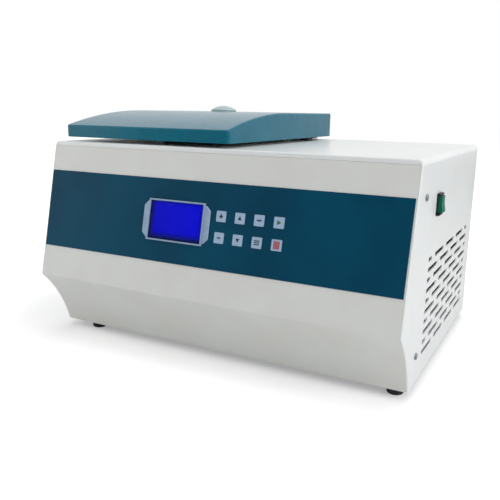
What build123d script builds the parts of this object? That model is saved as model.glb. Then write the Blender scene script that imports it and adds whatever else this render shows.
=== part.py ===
"""Bench-top refrigerated centrifuge, built piece by piece in millimetres.

X runs to the right seen from the front, Y runs to the back, Z runs up.
The origin is on the bench, midway between the sides and between front and back.
"""
import os
from math import atan2, cos, hypot, radians, sin, tan

from build123d import *

os.makedirs("parts", exist_ok=True)

# Cabinet; its width, depth and height follow from what stands inside, further below
foot_height = 13.0
sheet = 2.0
panel_gap = 0.3
slope_setback = 49.0
lip_height = 96.0
lip_radius = 4.0
undercut_setback = 60.0
undercut_radius = 206.0
top_bend = 8.0
edge_radius = 3.0
cover_turn_down = 7.0
flange_depth = 64.0
flange_step = 4.0
cut_run = 20.0
margin = 1.0

# Slotted vents in the right side
vent_rows = 10
vent_row_pitch = 15.4
vent_slot_length = 64.0
vent_slot_gap = 19.2
vent_slot_height = 6.5
vent_columns = 4
vent_centre_height = 104.5

# Lid bumpers
bumper_size = 17.0
bumper_round = 3.0
bumper_from_rear = 110.0
bumper_inset = 14.5

# Control front, measured along the slope from its lower edge
overlay_margin = 4.0
overlay_height = 127.5
overlay_bottom = 51.5
overlay_thickness = 0.8
display_x = -47.5
display_up = 115.4
display_width = 100.0
display_height = 63.5
display_rim = 2.2
display_proud = 3.0
ear_width = 9.8
ear_height = 56.0
ear_chamfer = 7.0
lens_thickness = 1.5
lcd_thickness = 6.0
key_size = 16.0
key_rows = 2
key_columns = 4
key_corner = 1.5
key_first_x = 30.5
key_pitch_x = 31.0
key_pitch_up = 31.5
key_centre_up = 114.7
key_proud = 0.5
key_clearance = 0.3
key_flange = 1.5
key_flange_thickness = 1.2
key_travel = 0.5
ear_proud = 1.8
ear_edge = 0.8
lens_gap = 0.1
board_thickness = 1.6
contact_size = 6.0
contact_height = 0.9

# Boards and inverter
board_depth = 40.0
board_width = 320.0
board_height = 110.0
pillar_radius = 4.0
transformer_size = 44.0
capacitor_radius = 8.0
capacitor_pitch = 20.0
capacitor_count = 3
component_height = 20.0
component_offset_x = 53.0
component_offset_up = 27.5
transformer_offset_x = 80.0
heat_sink_length = 80.0
inverter_from_left = 110.0
inverter_from_front = 112.5
inverter_length = 160.0
inverter_width = 75.0
inverter_height = 140.0
inverter_ribs = 9
inverter_rib_pitch = 16.0
inverter_rib_gap = 8.0
inverter_rib_depth = 12.0

# Power rocker on the right side
switch_from_front = 159.5
switch_height = 249.6
switch_width = 25.5
switch_tall = 31.6
switch_rim = 1.8
switch_rim_round = 2.0
switch_rim_chamfer = 0.6
switch_end_proud = 5.0
switch_end_wall = 3.2
switch_side_wall = 2.5
switch_overhang = 1.0
switch_depth = 26.0
rocker_side_clearance = 0.5
rocker_end_clearance = 0.9
rocker_rest_angle = 5.0
rocker_pivot_in = 2.0
rocker_well = 12.0
rocker_end_height = 10.0
rocker_middle_height = 9.2
rocker_skirt = 7.0
rocker_edge_radius = 0.8
rocker_pin_radius = 1.2
rocker_pin_clearance = 0.05
rocker_pin_length = 0.8
terminal_length = 8.0
terminal_width = 5.0
terminal_thickness = 1.0

# Lid
lid_width = 316.0
lid_front_inset = 57.0
lid_rear_inset = 16.0
lid_left_inset = 18.0
lid_gap = 7.0
lid_front_height = 19.5
lid_rear_height = 45.0
lid_crown_radius = 800.0
lid_wall = 3.5
lid_edge_radius = 3.0
lid_corner_radius = 6.0
liner_thickness = 1.5
plug_depth = 14.0
plug_clearance = 4.0
seal_gap = 0.3
plug_edge = 4.0

# Viewing port in the lid
cap_diameter = 47.5
cap_height = 11.0
cap_edge = 3.5
cap_spigot = 6.0
port_radius = 20.0
port_wall = 2.5
port_clearance = 0.2
window_thickness = 5.0

# Rotor chamber
axis_from_left = 176.0
axis_from_rear = 178.0
bowl_radius = 106.0
bowl_depth = 124.7
bowl_sheet = 1.2
bowl_corner = 18.0
bowl_flange = 24.0
bowl_hole = 18.0
bowl_collar = 8.0
seal_width = 10.0
seal_round = 2.5
insulation_wall = 31.0
insulation_floor = 20.0
jacket_gap = 6.3
channel_count = 4
channel_height = 16.0
channel_pitch = 24.0
channel_depth = 6.0
support_size = 18.0
support_foot_size = 36.0
support_circle_radius = 130.0
support_count = 4

# Fixed-angle rotor
tube_count = 6
tube_diameter = 17.0
tube_depth = 62.0
tube_angle = 30.0
tube_mouth_radius = 43.0
rotor_radius = 88.0
rotor_floor_gap = 21.0
rotor_height = 74.0
rotor_recess_radius = 28.0
rotor_recess_depth = 38.0
rotor_top_radius = 58.0
rotor_rim_radius = 64.0
rotor_belt = 22.0
rotor_chamfer = 8.0
rotor_rim_drop = 3.0
nut_radius = 19.0
nut_height = 26.0
nut_flutes = 8
nut_flute_radius = 3.2
stud_radius = 5.0
stud_length = 18.0

# Drive
shaft_radius = 8.0
hub_radius = 10.0
shaft_clearance = 0.05
seat_radius = 14.0
seat_height = 8.0
shaft_foot_gap = 2.0
winding_overhang = 10.0
motor_radius = 62.0
motor_height = 120.0
motor_wall = 5.0
motor_air_gap = 1.0
armature_radius = 34.0
armature_height = 62.0
bearing_radius = 17.5
bearing_height = 11.0
plate_thickness = 6.0
plate_radius = 78.0
damper_height = 25.0
damper_radius = 12.0
damper_circle_radius = 62.0
damper_count = 4
motor_headroom = 17.5

# Refrigeration
compressor_from_rear = 165.0
compressor_radius = 70.0
compressor_height = 165.0
compressor_wall = 4.0
grommet_height = 12.0
grommet_radius = 9.0
compressor_plate_margin = 4.5
compressor_plate = 3.0
compressor_dome = 25.0
compressor_seam = 70.0
terminal_box = 40.0
condenser_length = 300.0
condenser_height = 150.0
condenser_thickness = 36.0
condenser_gap = 6.0
condenser_from_front = 133.0
leg_width = 12.0
fin_count = 24
fin_slot = 5.0
fin_slot_depth = 13.0
fan_radius = 68.0
fan_standoff = 18.0
fan_hub_radius = 22.0
fan_blades_count = 5
fan_pitch_angle = 32.0
fan_clearance = 4.0
fan_ring_reach = 8.0
fan_arm_width = 12.0
fan_motor_length = 34.0
fan_shaft_radius = 3.0
fan_shaft_length = 12.0
fan_hub_gap = 2.0
fan_hub_length = 18.0
fan_blade_root = 3.0
fan_blade_length = 42.0
fan_blade_chord = 32.0
fan_blade_round = 10.0
fan_blade_thickness = 2.0
pipe_radius = 3.2
pipe_clearance = 1.0
pipe_bend = 10.0
line_reach = 20.0
line_spread = 20.0
discharge_height = 135.0
condensed_height = 45.0
suction_height = 75.0
riser_gap = 17.0
drier_offset_x = 50.0
drier_length = 60.0
drier_radius = 9.0
drier_chamfer = 4.5
drier_gap = 4.0
partition_gap = 6.0
compressor_gap = 29.5
fan_motor_gap = 1.2
partition_from_front = 105.0

# Hinges
hinge_offset_x = 95.0
hinge_width = 60.0
hinge_behind = 7.5
hinge_rise = 8.0
knuckle_radius = 4.8
pin_radius = 2.5
pin_seat_clearance = 0.02
pin_run_clearance = 0.06
leaf_thickness = 2.0
leaf_reach = 24.0
leaf_height = 36.0
leaf_screw_rise = 22.0
middle_knuckle = 24.0
leaf_screw_pitch = 39.6
pin_end = 1.0
hinge_screw_head = 4.0
hinge_screw_rise = 2.0

# Lid lock
lock_behind_lid_front = 28.0
lock_offset_x = 15.0
tongue_width = 16.0
tongue_thickness = 4.0
tongue_length = 34.0
tongue_window = 10.0
tongue_plate_width = 42.0
tongue_plate_length = 20.0
tongue_plate_round = 2.0
tongue_slot_side = 3.0
tongue_slot_end = 4.0
tongue_slot_round = 3.0
bolt_radius = 3.0
bolt_length = 36.0
bolt_standoff = 2.0
bolt_clearance = 0.08
latch_width = 40.0
latch_length = 70.0
latch_height = 40.0
latch_front = 12.0
latch_slot_width = 20.0
latch_slot_depth = 12.0
latch_slot_fall = 30.0

# Feet and fasteners
foot_radius = 12.0
foot_from_front = 82.0
foot_from_rear = 50.0
foot_from_left = 53.0
foot_from_right = 23.0
foot_chamfer = 1.5
foot_recess_depth = 6.5
screw_head_radius = 5.0
screw_head_height = 2.8
screw_head_round = 2.0
screw_radius = 2.0
screw_clearance = 0.3
screw_top_behind = 78.0
screw_top_from_top = 51.0
screw_low_behind = 88.0
screw_low_height = 44.0
screw_length = 10.0

# Base tray and rear panel
base_flange = 25.0
base_slots = 6
base_slot_pitch = 16.0
base_slot_length = 120.0
rear_flange = 14.0
rear_slots = 12
rear_slot_pitch = 12.0
rear_slot_length = 60.0
rear_slot_gap = 10.0
rear_vent_from_right = 110.0
rear_vent_from_top = 119.0
rear_screw_inset = 14.0
rear_screw_from_top = 28.0
return_width = 22.0

# Mains inlet
inlet_from_right = 110.0
inlet_rise = 55.0
inlet_width = 28.0
inlet_height = 20.5
inlet_flange_width = 50.0
inlet_flange_height = 24.0
inlet_flange_thickness = 2.5
inlet_depth = 24.0
inlet_cavity_width = 24.0
inlet_cavity_height = 16.5
inlet_cavity_depth = 17.0
inlet_chamfer = 5.0
inlet_flange_round = 4.0
inlet_pin_thickness = 2.0
inlet_pin_height = 4.0
inlet_pin_length = 13.0
inlet_pin_spread = 7.0

# Outwards from the bowl: its jacket with the channels, then the foam
jacket_inner = bowl_radius + bowl_sheet + panel_gap
insulation_bore = jacket_inner + bowl_sheet + channel_depth + jacket_gap
insulation_radius = insulation_bore + insulation_wall

# Across: the chamber's foam, the partition, the compressor, the fan and the condenser stand side by side
insulation_from_left = axis_from_left - insulation_radius
grommet_pitch = 2 * compressor_radius - 2 * grommet_radius
compressor_plate_size = grommet_pitch + 2 * grommet_radius + 2 * compressor_plate_margin
fan_assembly = fan_motor_length + panel_gap + fan_ring_reach + fan_standoff
cabinet_width = (
    insulation_from_left
    + 2 * insulation_radius
    + partition_gap
    + sheet
    + compressor_gap
    + compressor_plate_size
    + fan_motor_gap
    + fan_assembly
    + condenser_thickness
    + condenser_gap
    + sheet
)
# From front to back: the room for the boards, the condenser, the lines and the drier, the mains inlet
cabinet_depth = condenser_from_front + condenser_length + line_reach + drier_radius + drier_gap + inlet_depth
# Upwards: the dampers, the motor, the foam under the bowl and the bowl
cabinet_height = (
    sheet
    + damper_height
    + plate_thickness
    + motor_height
    + motor_headroom
    + insulation_floor
    + panel_gap
    + bowl_sheet
    + bowl_depth
    + panel_gap
    + sheet
)

# Places worked out from the sizes above
half_width = cabinet_width / 2
front_y = -cabinet_depth / 2
rear_y = cabinet_depth / 2
axis_x = -half_width + axis_from_left
axis_y = rear_y - axis_from_rear
bottom_z = foot_height
top_z = foot_height + cabinet_height
lip_z = bottom_z + lip_height
floor_z = bottom_z + sheet
inner_half = half_width - sheet - panel_gap
slope_rise = cabinet_height - lip_height
slope_length = hypot(slope_setback, slope_rise)
slope_lean = atan2(slope_setback, slope_rise)
slope = Plane(origin=(0, front_y, lip_z), x_dir=(1, 0, 0), z_dir=(0, -cos(slope_lean), sin(slope_lean)))
axis = Plane(origin=(axis_x, axis_y, 0))
spin_axis = Axis((axis_x, axis_y, 0), (0, 0, 1))

lid_x = -half_width + lid_left_inset + lid_width / 2
lid_front = front_y + lid_front_inset
lid_rear = rear_y - lid_rear_inset
lid_length = lid_rear - lid_front
lock_x = lid_x + lock_offset_x
lock_y = lid_front + lock_behind_lid_front
lid_bottom = top_z + lid_gap
lid_top = lid_bottom + lid_rear_height
hinge_y = lid_rear + hinge_behind
hinge_z = top_z + hinge_rise
plug_radius = bowl_radius - plug_clearance

flange_z = top_z - sheet - panel_gap
bowl_floor_z = flange_z - bowl_depth
seal_outer = bowl_radius + seal_width
insulation_bottom = bowl_floor_z - bowl_sheet - panel_gap - insulation_floor
rotor_bottom = bowl_floor_z + rotor_floor_gap
rotor_top = rotor_bottom + rotor_height
recess_z = rotor_top - rotor_recess_depth

damper_top = floor_z + damper_height
plate_top = damper_top + plate_thickness
motor_top = plate_top + motor_height
lower_bearing_z = plate_top + motor_wall
upper_bearing_z = motor_top - motor_wall - bearing_height
armature_z = plate_top + (motor_height - armature_height) / 2

fan_y = front_y + condenser_from_front + condenser_length / 2
rear_vent_x = half_width - rear_vent_from_right
rear_vent_z = top_z - rear_vent_from_top
inlet_x = half_width - inlet_from_right
inlet_z = bottom_z + inlet_rise
partition_x = axis_x + insulation_radius + partition_gap
riser_x = partition_x + sheet + riser_gap
compressor_x = partition_x + sheet + compressor_gap + compressor_plate_size / 2
compressor_y = rear_y - compressor_from_rear
condenser_x = half_width - sheet - condenser_gap - condenser_thickness / 2
condenser_end = fan_y + condenser_length / 2
vent_z = bottom_z + vent_centre_height
switch_y = front_y + switch_from_front
switch_z = bottom_z + switch_height
fan_x = condenser_x - condenser_thickness / 2 - fan_standoff
rear_screw_places = [
    (side * (inner_half - rear_screw_inset), bottom_z + height)
    for side in (-1, 1)
    for height in (base_flange + rear_screw_inset, cabinet_height / 2, cabinet_height - rear_screw_from_top)
]


def on_slope(x, up, out=0.0):
    """A point given across the front, up its slope and out from its face."""
    return slope.from_local_coords(Vector(x, up, out))


def side_profile(inset=0.0, extend=0.0):
    """The cabinet seen from the side, its walls moved in by inset, its bottom and rear out by extend."""
    foot_y = front_y + undercut_setback
    corners = [(foot_y, bottom_z)]
    if extend:
        corners.append((foot_y, bottom_z - extend))
    corners += [
        (rear_y + extend, bottom_z - extend),
        (rear_y + extend, top_z),
        (front_y + slope_setback, top_z),
        (front_y, lip_z),
    ]
    with BuildSketch() as profile:
        with BuildLine():
            outline = Polyline(*corners)
            RadiusArc(outline @ 1, outline @ 0, undercut_radius)
        make_face()
        fillet(profile.vertices().sort_by(Axis.X)[0], radius=lip_radius)
        if inset:
            offset(amount=-inset, kind=Kind.INTERSECTION)
    return profile.sketch


def cabinet_form(inset=0.0, extend=0.0):
    """The whole cabinet as one block, with its bent top sides and rounded front edges."""
    with BuildPart() as form:
        with BuildSketch(Plane.YZ):
            add(side_profile(inset, extend))
        extrude(amount=half_width - inset, both=True)
        with BuildSketch(Plane.XZ.offset(-cabinet_depth)):
            with Locations((0, bottom_z - extend)):
                frame = Rectangle(
                    cabinet_width - 2 * inset,
                    cabinet_height + extend - inset,
                    align=(Align.CENTER, Align.MIN),
                )
            fillet(frame.vertices().group_by(Axis.Y)[-1], radius=top_bend - inset)
        extrude(amount=2 * cabinet_depth, mode=Mode.INTERSECT)
        front = form.edges().filter_by(lambda edge: edge.center().Y < front_y + undercut_setback - margin)
        rim = front.filter_by(
            lambda edge: abs(edge.center().X) > half_width - top_bend
            or edge.center().Z > top_z - inset - margin
        )
        fillet(rim.filter_by(lambda edge: edge.center().Z > bottom_z), radius=edge_radius - inset)
    return form.part


def front_zone(up_to, half):
    """The room round the front sheet, as high as a distance measured along the slope."""
    low_y, low_z = front_y - flange_depth, bottom_z - flange_depth
    outside = on_slope(0, up_to, flange_depth)
    inside = on_slope(0, up_to, -flange_depth)
    with BuildPart() as zone:
        with BuildSketch(Plane.YZ):
            with BuildLine():
                Polyline(
                    (outside.Y, outside.Z),
                    (inside.Y, inside.Z),
                    (inside.Y, low_z),
                    (low_y, low_z),
                    (low_y, outside.Z),
                    close=True,
                )
            make_face()
        extrude(amount=half, both=True)
    return zone.part


def lid_form(inset=0.0, drop=0.0):
    """The lid's form, its walls moved in by inset and its underside moved down by drop."""
    rise = lid_rear_height - lid_front_height
    run = (2 * lid_crown_radius * rise - rise**2) ** 0.5
    under_z = lid_bottom - drop - inset
    with BuildPart() as form:
        with BuildSketch(Plane.YZ.offset(lid_x)):
            with BuildLine():
                crown = RadiusArc(
                    (lid_front, lid_bottom + lid_front_height),
                    (lid_front + run, lid_top),
                    lid_crown_radius,
                )
                Polyline(
                    crown @ 1,
                    (lid_rear, lid_top),
                    (lid_rear, under_z),
                    (lid_front, under_z),
                    crown @ 0,
                )
            make_face()
            if inset:
                offset(amount=-inset, kind=Kind.INTERSECTION)
        extrude(amount=lid_width / 2 - inset, both=True)
        fillet(form.edges().filter_by(Axis.Z), radius=lid_corner_radius - inset)
        if not inset:
            upper = form.edges().filter_by(lambda edge: edge.bounding_box().min.Z > lid_bottom + margin)
            fillet(upper, radius=lid_edge_radius)
    return form.part


# The cover is one bent sheet: left side, top and right side, its top turned down over the slope
cabinet_skin = cabinet_form() - cabinet_form(sheet, extend=cut_run)
side_screw_places = [
    (front_y + screw_top_behind, top_z - screw_top_from_top),
    (front_y + screw_low_behind, bottom_z + screw_low_height),
]
slot_pitch = vent_slot_length + vent_slot_gap
field_length = vent_columns * slot_pitch - vent_slot_gap
end_slot = (field_length - (vent_columns - 1) * vent_slot_length - vent_columns * vent_slot_gap) / 2

with BuildPart() as cabinet_cover:
    add(cabinet_skin)
    add(front_zone(slope_length - cover_turn_down, half_width - sheet), mode=Mode.SUBTRACT)
    with BuildSketch(Plane.XY.offset(top_z - 2 * sheet)):
        with Locations((axis_x, axis_y)):
            Circle(seal_outer + panel_gap)
        with Locations((lock_x, lock_y)):
            RectangleRounded(
                tongue_width + 2 * tongue_slot_side,
                tongue_thickness + 2 * tongue_slot_end,
                tongue_slot_round,
            )
    extrude(amount=3 * sheet, mode=Mode.SUBTRACT)
    with BuildSketch(Plane.YZ.offset(half_width - 2 * sheet)):
        for row in range(vent_rows):
            row_z = vent_z + ((vent_rows - 1) / 2 - row) * vent_row_pitch
            with Locations((fan_y, row_z)):
                if row % 2:
                    with GridLocations(slot_pitch, 1, vent_columns, 1):
                        SlotOverall(vent_slot_length, vent_slot_height)
                else:
                    with GridLocations(slot_pitch, 1, vent_columns - 1, 1):
                        SlotOverall(vent_slot_length, vent_slot_height)
                    with GridLocations(field_length - end_slot, 1, 2, 1):
                        SlotOverall(end_slot, vent_slot_height)
        with Locations((switch_y, switch_z)):
            Rectangle(switch_width - 2 * switch_overhang, switch_tall - 2 * switch_overhang)
    extrude(amount=3 * sheet, mode=Mode.SUBTRACT)
    with BuildSketch(Plane.YZ.offset(-half_width - sheet)):
        with Locations(*side_screw_places):
            Circle(screw_radius + screw_clearance)
    extrude(amount=cabinet_width + 2 * sheet, mode=Mode.SUBTRACT)
    return_z = bottom_z + base_flange + panel_gap
    for side in (-1, 1):
        with BuildSketch(Plane.XY.offset(return_z)):
            with Locations((side * (half_width - (return_width + sheet) / 2), rear_y - sheet - panel_gap)):
                Rectangle(return_width + sheet, sheet, align=(Align.CENTER, Align.MAX))
        extrude(amount=top_z - top_bend - return_z)
    with BuildSketch(Plane.XZ.offset(-rear_y)):
        with Locations(*rear_screw_places):
            Circle(screw_radius + screw_clearance)
    extrude(amount=return_width, mode=Mode.SUBTRACT)
cabinet_cover.part.label = "cabinet_cover"
export_step(cabinet_cover.part, "parts/cabinet_cover.step")

# The front panel follows the slope, the lip and the undercut, with a flange inside each side of the cover
panel_top = slope_length - cover_turn_down - panel_gap
key_places = [
    (key_first_x + column * key_pitch_x, key_centre_up + ((key_rows - 1) / 2 - row) * key_pitch_up)
    for row in range(key_rows)
    for column in range(key_columns)
]
with BuildPart() as front_panel:
    add(cabinet_skin)
    add(front_zone(panel_top, inner_half), mode=Mode.INTERSECT)
    outside = on_slope(0, panel_top, sheet)
    inside = on_slope(0, panel_top, -flange_depth)
    for side in (-1, 1):
        with BuildSketch(Plane.YZ.offset(side * (inner_half - sheet / 2))):
            with BuildLine():
                Polyline(
                    (outside.Y, outside.Z),
                    (inside.Y, inside.Z),
                    (front_y + flange_depth, lip_z),
                    (front_y + undercut_setback + flange_depth, floor_z + panel_gap),
                    (front_y - sheet, floor_z + panel_gap),
                    (front_y - sheet, outside.Z),
                    close=True,
                )
            make_face()
            add(side_profile(sheet - panel_gap, extend=cut_run), mode=Mode.INTERSECT)
        extrude(amount=sheet / 2, both=True)
    with BuildSketch(slope.offset(-2 * sheet)):
        with Locations((display_x, display_up)):
            Rectangle(display_width - 2 * display_rim, display_height - 2 * display_rim)
        with Locations(*key_places):
            RectangleRounded(key_size + 2 * key_clearance, key_size + 2 * key_clearance, key_corner)
    extrude(amount=3 * sheet, mode=Mode.SUBTRACT)
    with BuildSketch(Plane.YZ.offset(-half_width - sheet)):
        with Locations(*side_screw_places):
            Circle(screw_radius + screw_clearance)
    extrude(amount=cabinet_width + 2 * sheet, mode=Mode.SUBTRACT)
front_panel.part.label = "front_panel"
export_step(front_panel.part, "parts/front_panel.step")

# The base is a shallow tray with side flanges behind the front panel's, and air slots under the compressor
base_front = front_y + undercut_setback + sheet + margin
with BuildPart() as base_pan:
    with BuildSketch(Plane.XY.offset(bottom_z)):
        with Locations((0, base_front)):
            Rectangle(
                2 * inner_half,
                rear_y - sheet - panel_gap - base_front,
                align=(Align.CENTER, Align.MIN),
            )
    extrude(amount=sheet)
    flange_start = front_y + undercut_setback + flange_depth + flange_step
    for side in (-1, 1):
        with BuildSketch(Plane.XY.offset(bottom_z)):
            with Locations((side * (inner_half - sheet / 2), flange_start)):
                Rectangle(sheet, rear_y - sheet - panel_gap - flange_start, align=(Align.CENTER, Align.MIN))
        extrude(amount=base_flange)
    with BuildSketch(Plane.XY.offset(bottom_z)):
        with Locations((fan_x - base_slot_pitch, fan_y)):
            with GridLocations(base_slot_pitch, 1, base_slots, 1):
                SlotOverall(base_slot_length, vent_slot_height, rotation=90)
    extrude(amount=sheet, mode=Mode.SUBTRACT)
base_pan.part.label = "base_pan"
export_step(base_pan.part, "parts/base_pan.step")

# The rear panel closes the back, with a flange at its top, exhaust slots and the inlet's cut-out
rear_inner = rear_y - sheet
with BuildPart() as rear_panel:
    with BuildSketch(Plane.XZ.offset(-rear_y)):
        with Locations((0, bottom_z)):
            back = Rectangle(2 * inner_half, flange_z - bottom_z, align=(Align.CENTER, Align.MIN))
        fillet(back.vertices().group_by(Axis.Y)[-1], radius=top_bend - sheet - panel_gap)
    extrude(amount=rear_flange)
    with BuildSketch(Plane.XZ.offset(-rear_inner)):
        with Locations((0, bottom_z - margin)):
            Rectangle(
                2 * inner_half + margin,
                flange_z - bottom_z - sheet + margin,
                align=(Align.CENTER, Align.MIN),
            )
    extrude(amount=rear_flange, mode=Mode.SUBTRACT)
    with BuildSketch(Plane.XZ.offset(-rear_y)):
        with Locations((rear_vent_x, rear_vent_z)):
            with GridLocations(rear_slot_pitch, rear_slot_length + rear_slot_gap, rear_slots, 2):
                SlotOverall(rear_slot_length, vent_slot_height, rotation=90)
        with Locations((inlet_x, inlet_z)):
            Rectangle(inlet_width, inlet_height)
        with Locations(*rear_screw_places):
            Circle(screw_radius + screw_clearance)
    extrude(amount=sheet, mode=Mode.SUBTRACT)
rear_panel.part.label = "rear_panel"
export_step(rear_panel.part, "parts/rear_panel.step")

# The overlay is a thin printed sheet on the slope, with windows for the display and the keys
window_width = display_width - 2 * display_rim
window_height = display_height - 2 * display_rim
key_window = key_size + 2 * key_clearance
with BuildPart() as control_overlay:
    with BuildSketch(slope):
        with Locations((0, overlay_bottom + overlay_height / 2)):
            Rectangle(cabinet_width - 2 * overlay_margin, overlay_height)
        with Locations((display_x, display_up)):
            Rectangle(window_width, window_height, mode=Mode.SUBTRACT)
        with Locations(*key_places):
            RectangleRounded(key_window, key_window, key_corner, mode=Mode.SUBTRACT)
    extrude(amount=overlay_thickness)
control_overlay.part.label = "control_overlay"
export_step(control_overlay.part, "parts/control_overlay.step")

# The display's frame stands proud of the overlay, with a lower chamfered bar at each side
with BuildPart() as display_bezel:
    with BuildSketch(slope.offset(overlay_thickness)):
        with Locations((display_x, display_up)):
            bars = Rectangle(display_width + 2 * ear_width, ear_height)
            chamfer(bars.vertices(), length=ear_chamfer)
            Rectangle(display_width, display_height)
            Rectangle(window_width, window_height, mode=Mode.SUBTRACT)
    extrude(amount=ear_proud)
    outer_face = display_bezel.faces().sort_by(Axis(slope.origin, slope.z_dir))[-1]
    chamfer(outer_face.outer_wire().edges(), ear_edge)
    with BuildSketch(slope.offset(overlay_thickness + ear_proud)):
        with Locations((display_x, display_up)):
            Rectangle(display_width, display_height)
            Rectangle(window_width, window_height, mode=Mode.SUBTRACT)
    extrude(amount=display_proud - ear_proud)
display_bezel.part.label = "display_bezel"
export_step(display_bezel.part, "parts/display_bezel.step")

with BuildPart() as display_panel:
    with BuildSketch(slope.offset(overlay_thickness - lcd_thickness)):
        with Locations((display_x, display_up)):
            Rectangle(window_width - 2 * panel_gap, window_height - 2 * panel_gap)
    extrude(amount=lcd_thickness)
display_panel.part.label = "display_panel"
export_step(display_panel.part, "parts/display_panel.step")

with BuildPart() as display_lens:
    with BuildSketch(slope.offset(overlay_thickness + lens_gap)):
        with Locations((display_x, display_up)):
            Rectangle(window_width - 2 * panel_gap, window_height - 2 * panel_gap)
    extrude(amount=lens_thickness)
display_lens.part.label = "display_lens"
export_step(display_lens.part, "parts/display_lens.step")

# Each key is a cap in its window, held by a flange behind the panel
key_names = [
    "key_increase",
    "key_cursor_up",
    "key_select",
    "key_start",
    "key_decrease",
    "key_cursor_down",
    "key_set",
    "key_stop",
]
key_back = -sheet - panel_gap
for name, place in zip(key_names, key_places):
    with BuildPart() as key:
        with BuildSketch(slope.offset(key_back - key_flange_thickness)):
            with Locations(place):
                RectangleRounded(key_size + 2 * key_flange, key_size + 2 * key_flange, key_corner)
        extrude(amount=key_flange_thickness)
        with BuildSketch(slope.offset(key_back)):
            with Locations(place):
                RectangleRounded(key_size, key_size, key_corner)
        extrude(amount=overlay_thickness + key_proud - key_back)
    key.part.label = name
    export_step(key.part, f"parts/{name}.step")

# The board behind the keys carries one small switch under each
contact_top = key_back - key_flange_thickness - key_travel - panel_gap
key_centre_x = key_first_x + (key_columns - 1) / 2 * key_pitch_x
with BuildPart() as key_board:
    with BuildSketch(slope.offset(contact_top - contact_height - board_thickness)):
        with Locations((key_centre_x, key_centre_up)):
            Rectangle(key_columns * key_pitch_x, key_rows * key_pitch_up)
    extrude(amount=board_thickness)
    with BuildSketch(slope.offset(contact_top - contact_height)):
        with Locations(*key_places):
            Rectangle(contact_size, contact_size)
    extrude(amount=contact_height)
key_board.part.label = "key_board"
export_step(key_board.part, "parts/key_board.step")

# The control board stands on four pillars behind the display and the keys
with BuildPart() as control_board:
    with BuildSketch(slope.offset(-board_depth)):
        with Locations((0, key_centre_up)):
            Rectangle(board_width, board_height)
    extrude(amount=board_thickness)
    with BuildSketch(slope.offset(-board_depth + board_thickness)):
        with Locations((0, key_centre_up)):
            with GridLocations(board_width - 4 * pillar_radius, board_height - 4 * pillar_radius, 2, 2):
                Circle(pillar_radius)
    extrude(amount=board_depth - board_thickness - sheet)
    with BuildSketch(slope.offset(-board_depth)):
        with Locations((-transformer_offset_x, key_centre_up)):
            Rectangle(transformer_size, transformer_size)
        with Locations((component_offset_x, key_centre_up - component_offset_up)):
            with GridLocations(capacitor_pitch, 1, capacitor_count, 1):
                Circle(capacitor_radius)
        with Locations((component_offset_x, key_centre_up + component_offset_up)):
            Rectangle(heat_sink_length, capacitor_radius)
    extrude(amount=-component_height)
control_board.part.label = "control_board"
export_step(control_board.part, "parts/control_board.step")

# The motor's inverter stands in the front left corner, with cooling ribs along its top
inverter_x = -half_width + inverter_from_left
inverter_y = front_y + inverter_from_front
with BuildPart() as inverter:
    with BuildSketch(Plane.XY.offset(floor_z)):
        with Locations((inverter_x, inverter_y)):
            Rectangle(inverter_length, inverter_width)
    extrude(amount=inverter_height)
    with BuildSketch(Plane.XZ.offset(-inverter_y - inverter_width / 2)):
        with Locations((inverter_x, floor_z + inverter_height)):
            with GridLocations(inverter_rib_pitch, 1, inverter_ribs, 1):
                Rectangle(inverter_rib_gap, 2 * inverter_rib_depth)
    extrude(amount=inverter_width, mode=Mode.SUBTRACT)
inverter.part.label = "inverter"
export_step(inverter.part, "parts/inverter.step")

# The power switch: a low black rim with a raised wall at each end, and a rocker on two stub pins between
pivot_x = half_width - rocker_pivot_in
well_width = switch_width - 2 * switch_side_wall
well_tall = switch_tall - 2 * switch_end_wall
with BuildPart() as switch_housing:
    with BuildSketch(Plane.YZ.offset(half_width)):
        with Locations((switch_y, switch_z)):
            RectangleRounded(switch_width, switch_tall, switch_rim_round)
    extrude(amount=switch_end_proud)
    with BuildSketch(Plane.YZ.offset(half_width + switch_rim)):
        with Locations((switch_y, switch_z)):
            Rectangle(switch_width + margin, well_tall)
    extrude(amount=switch_end_proud, mode=Mode.SUBTRACT)
    chamfer(switch_housing.faces().group_by(Axis.X)[-1].edges(), switch_rim_chamfer)
    with BuildSketch(Plane.YZ.offset(half_width - switch_depth)):
        with Locations((switch_y, switch_z)):
            Rectangle(
                switch_width - 2 * switch_overhang - 2 * panel_gap,
                switch_tall - 2 * switch_overhang - 2 * panel_gap,
            )
    extrude(amount=switch_depth)
    with BuildSketch(Plane.YZ.offset(pivot_x - rocker_well)):
        with Locations((switch_y, switch_z)):
            Rectangle(well_width, well_tall)
    extrude(amount=rocker_well + rocker_pivot_in + switch_end_proud, mode=Mode.SUBTRACT)
    with BuildSketch(Plane.XZ.offset(-switch_y)):
        with Locations((pivot_x, switch_z)):
            Circle(rocker_pin_radius + rocker_pin_clearance)
    extrude(amount=well_width / 2 + rocker_pin_length, both=True, mode=Mode.SUBTRACT)
    with BuildSketch(Plane.YZ.offset(half_width - switch_depth - terminal_length)):
        with Locations((switch_y, switch_z)):
            with GridLocations(well_width / 2, well_tall / 2, 2, 2):
                Rectangle(terminal_thickness, terminal_width)
    extrude(amount=terminal_length)
switch_housing.part.label = "switch_housing"
export_step(switch_housing.part, "parts/switch_housing.step")

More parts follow.
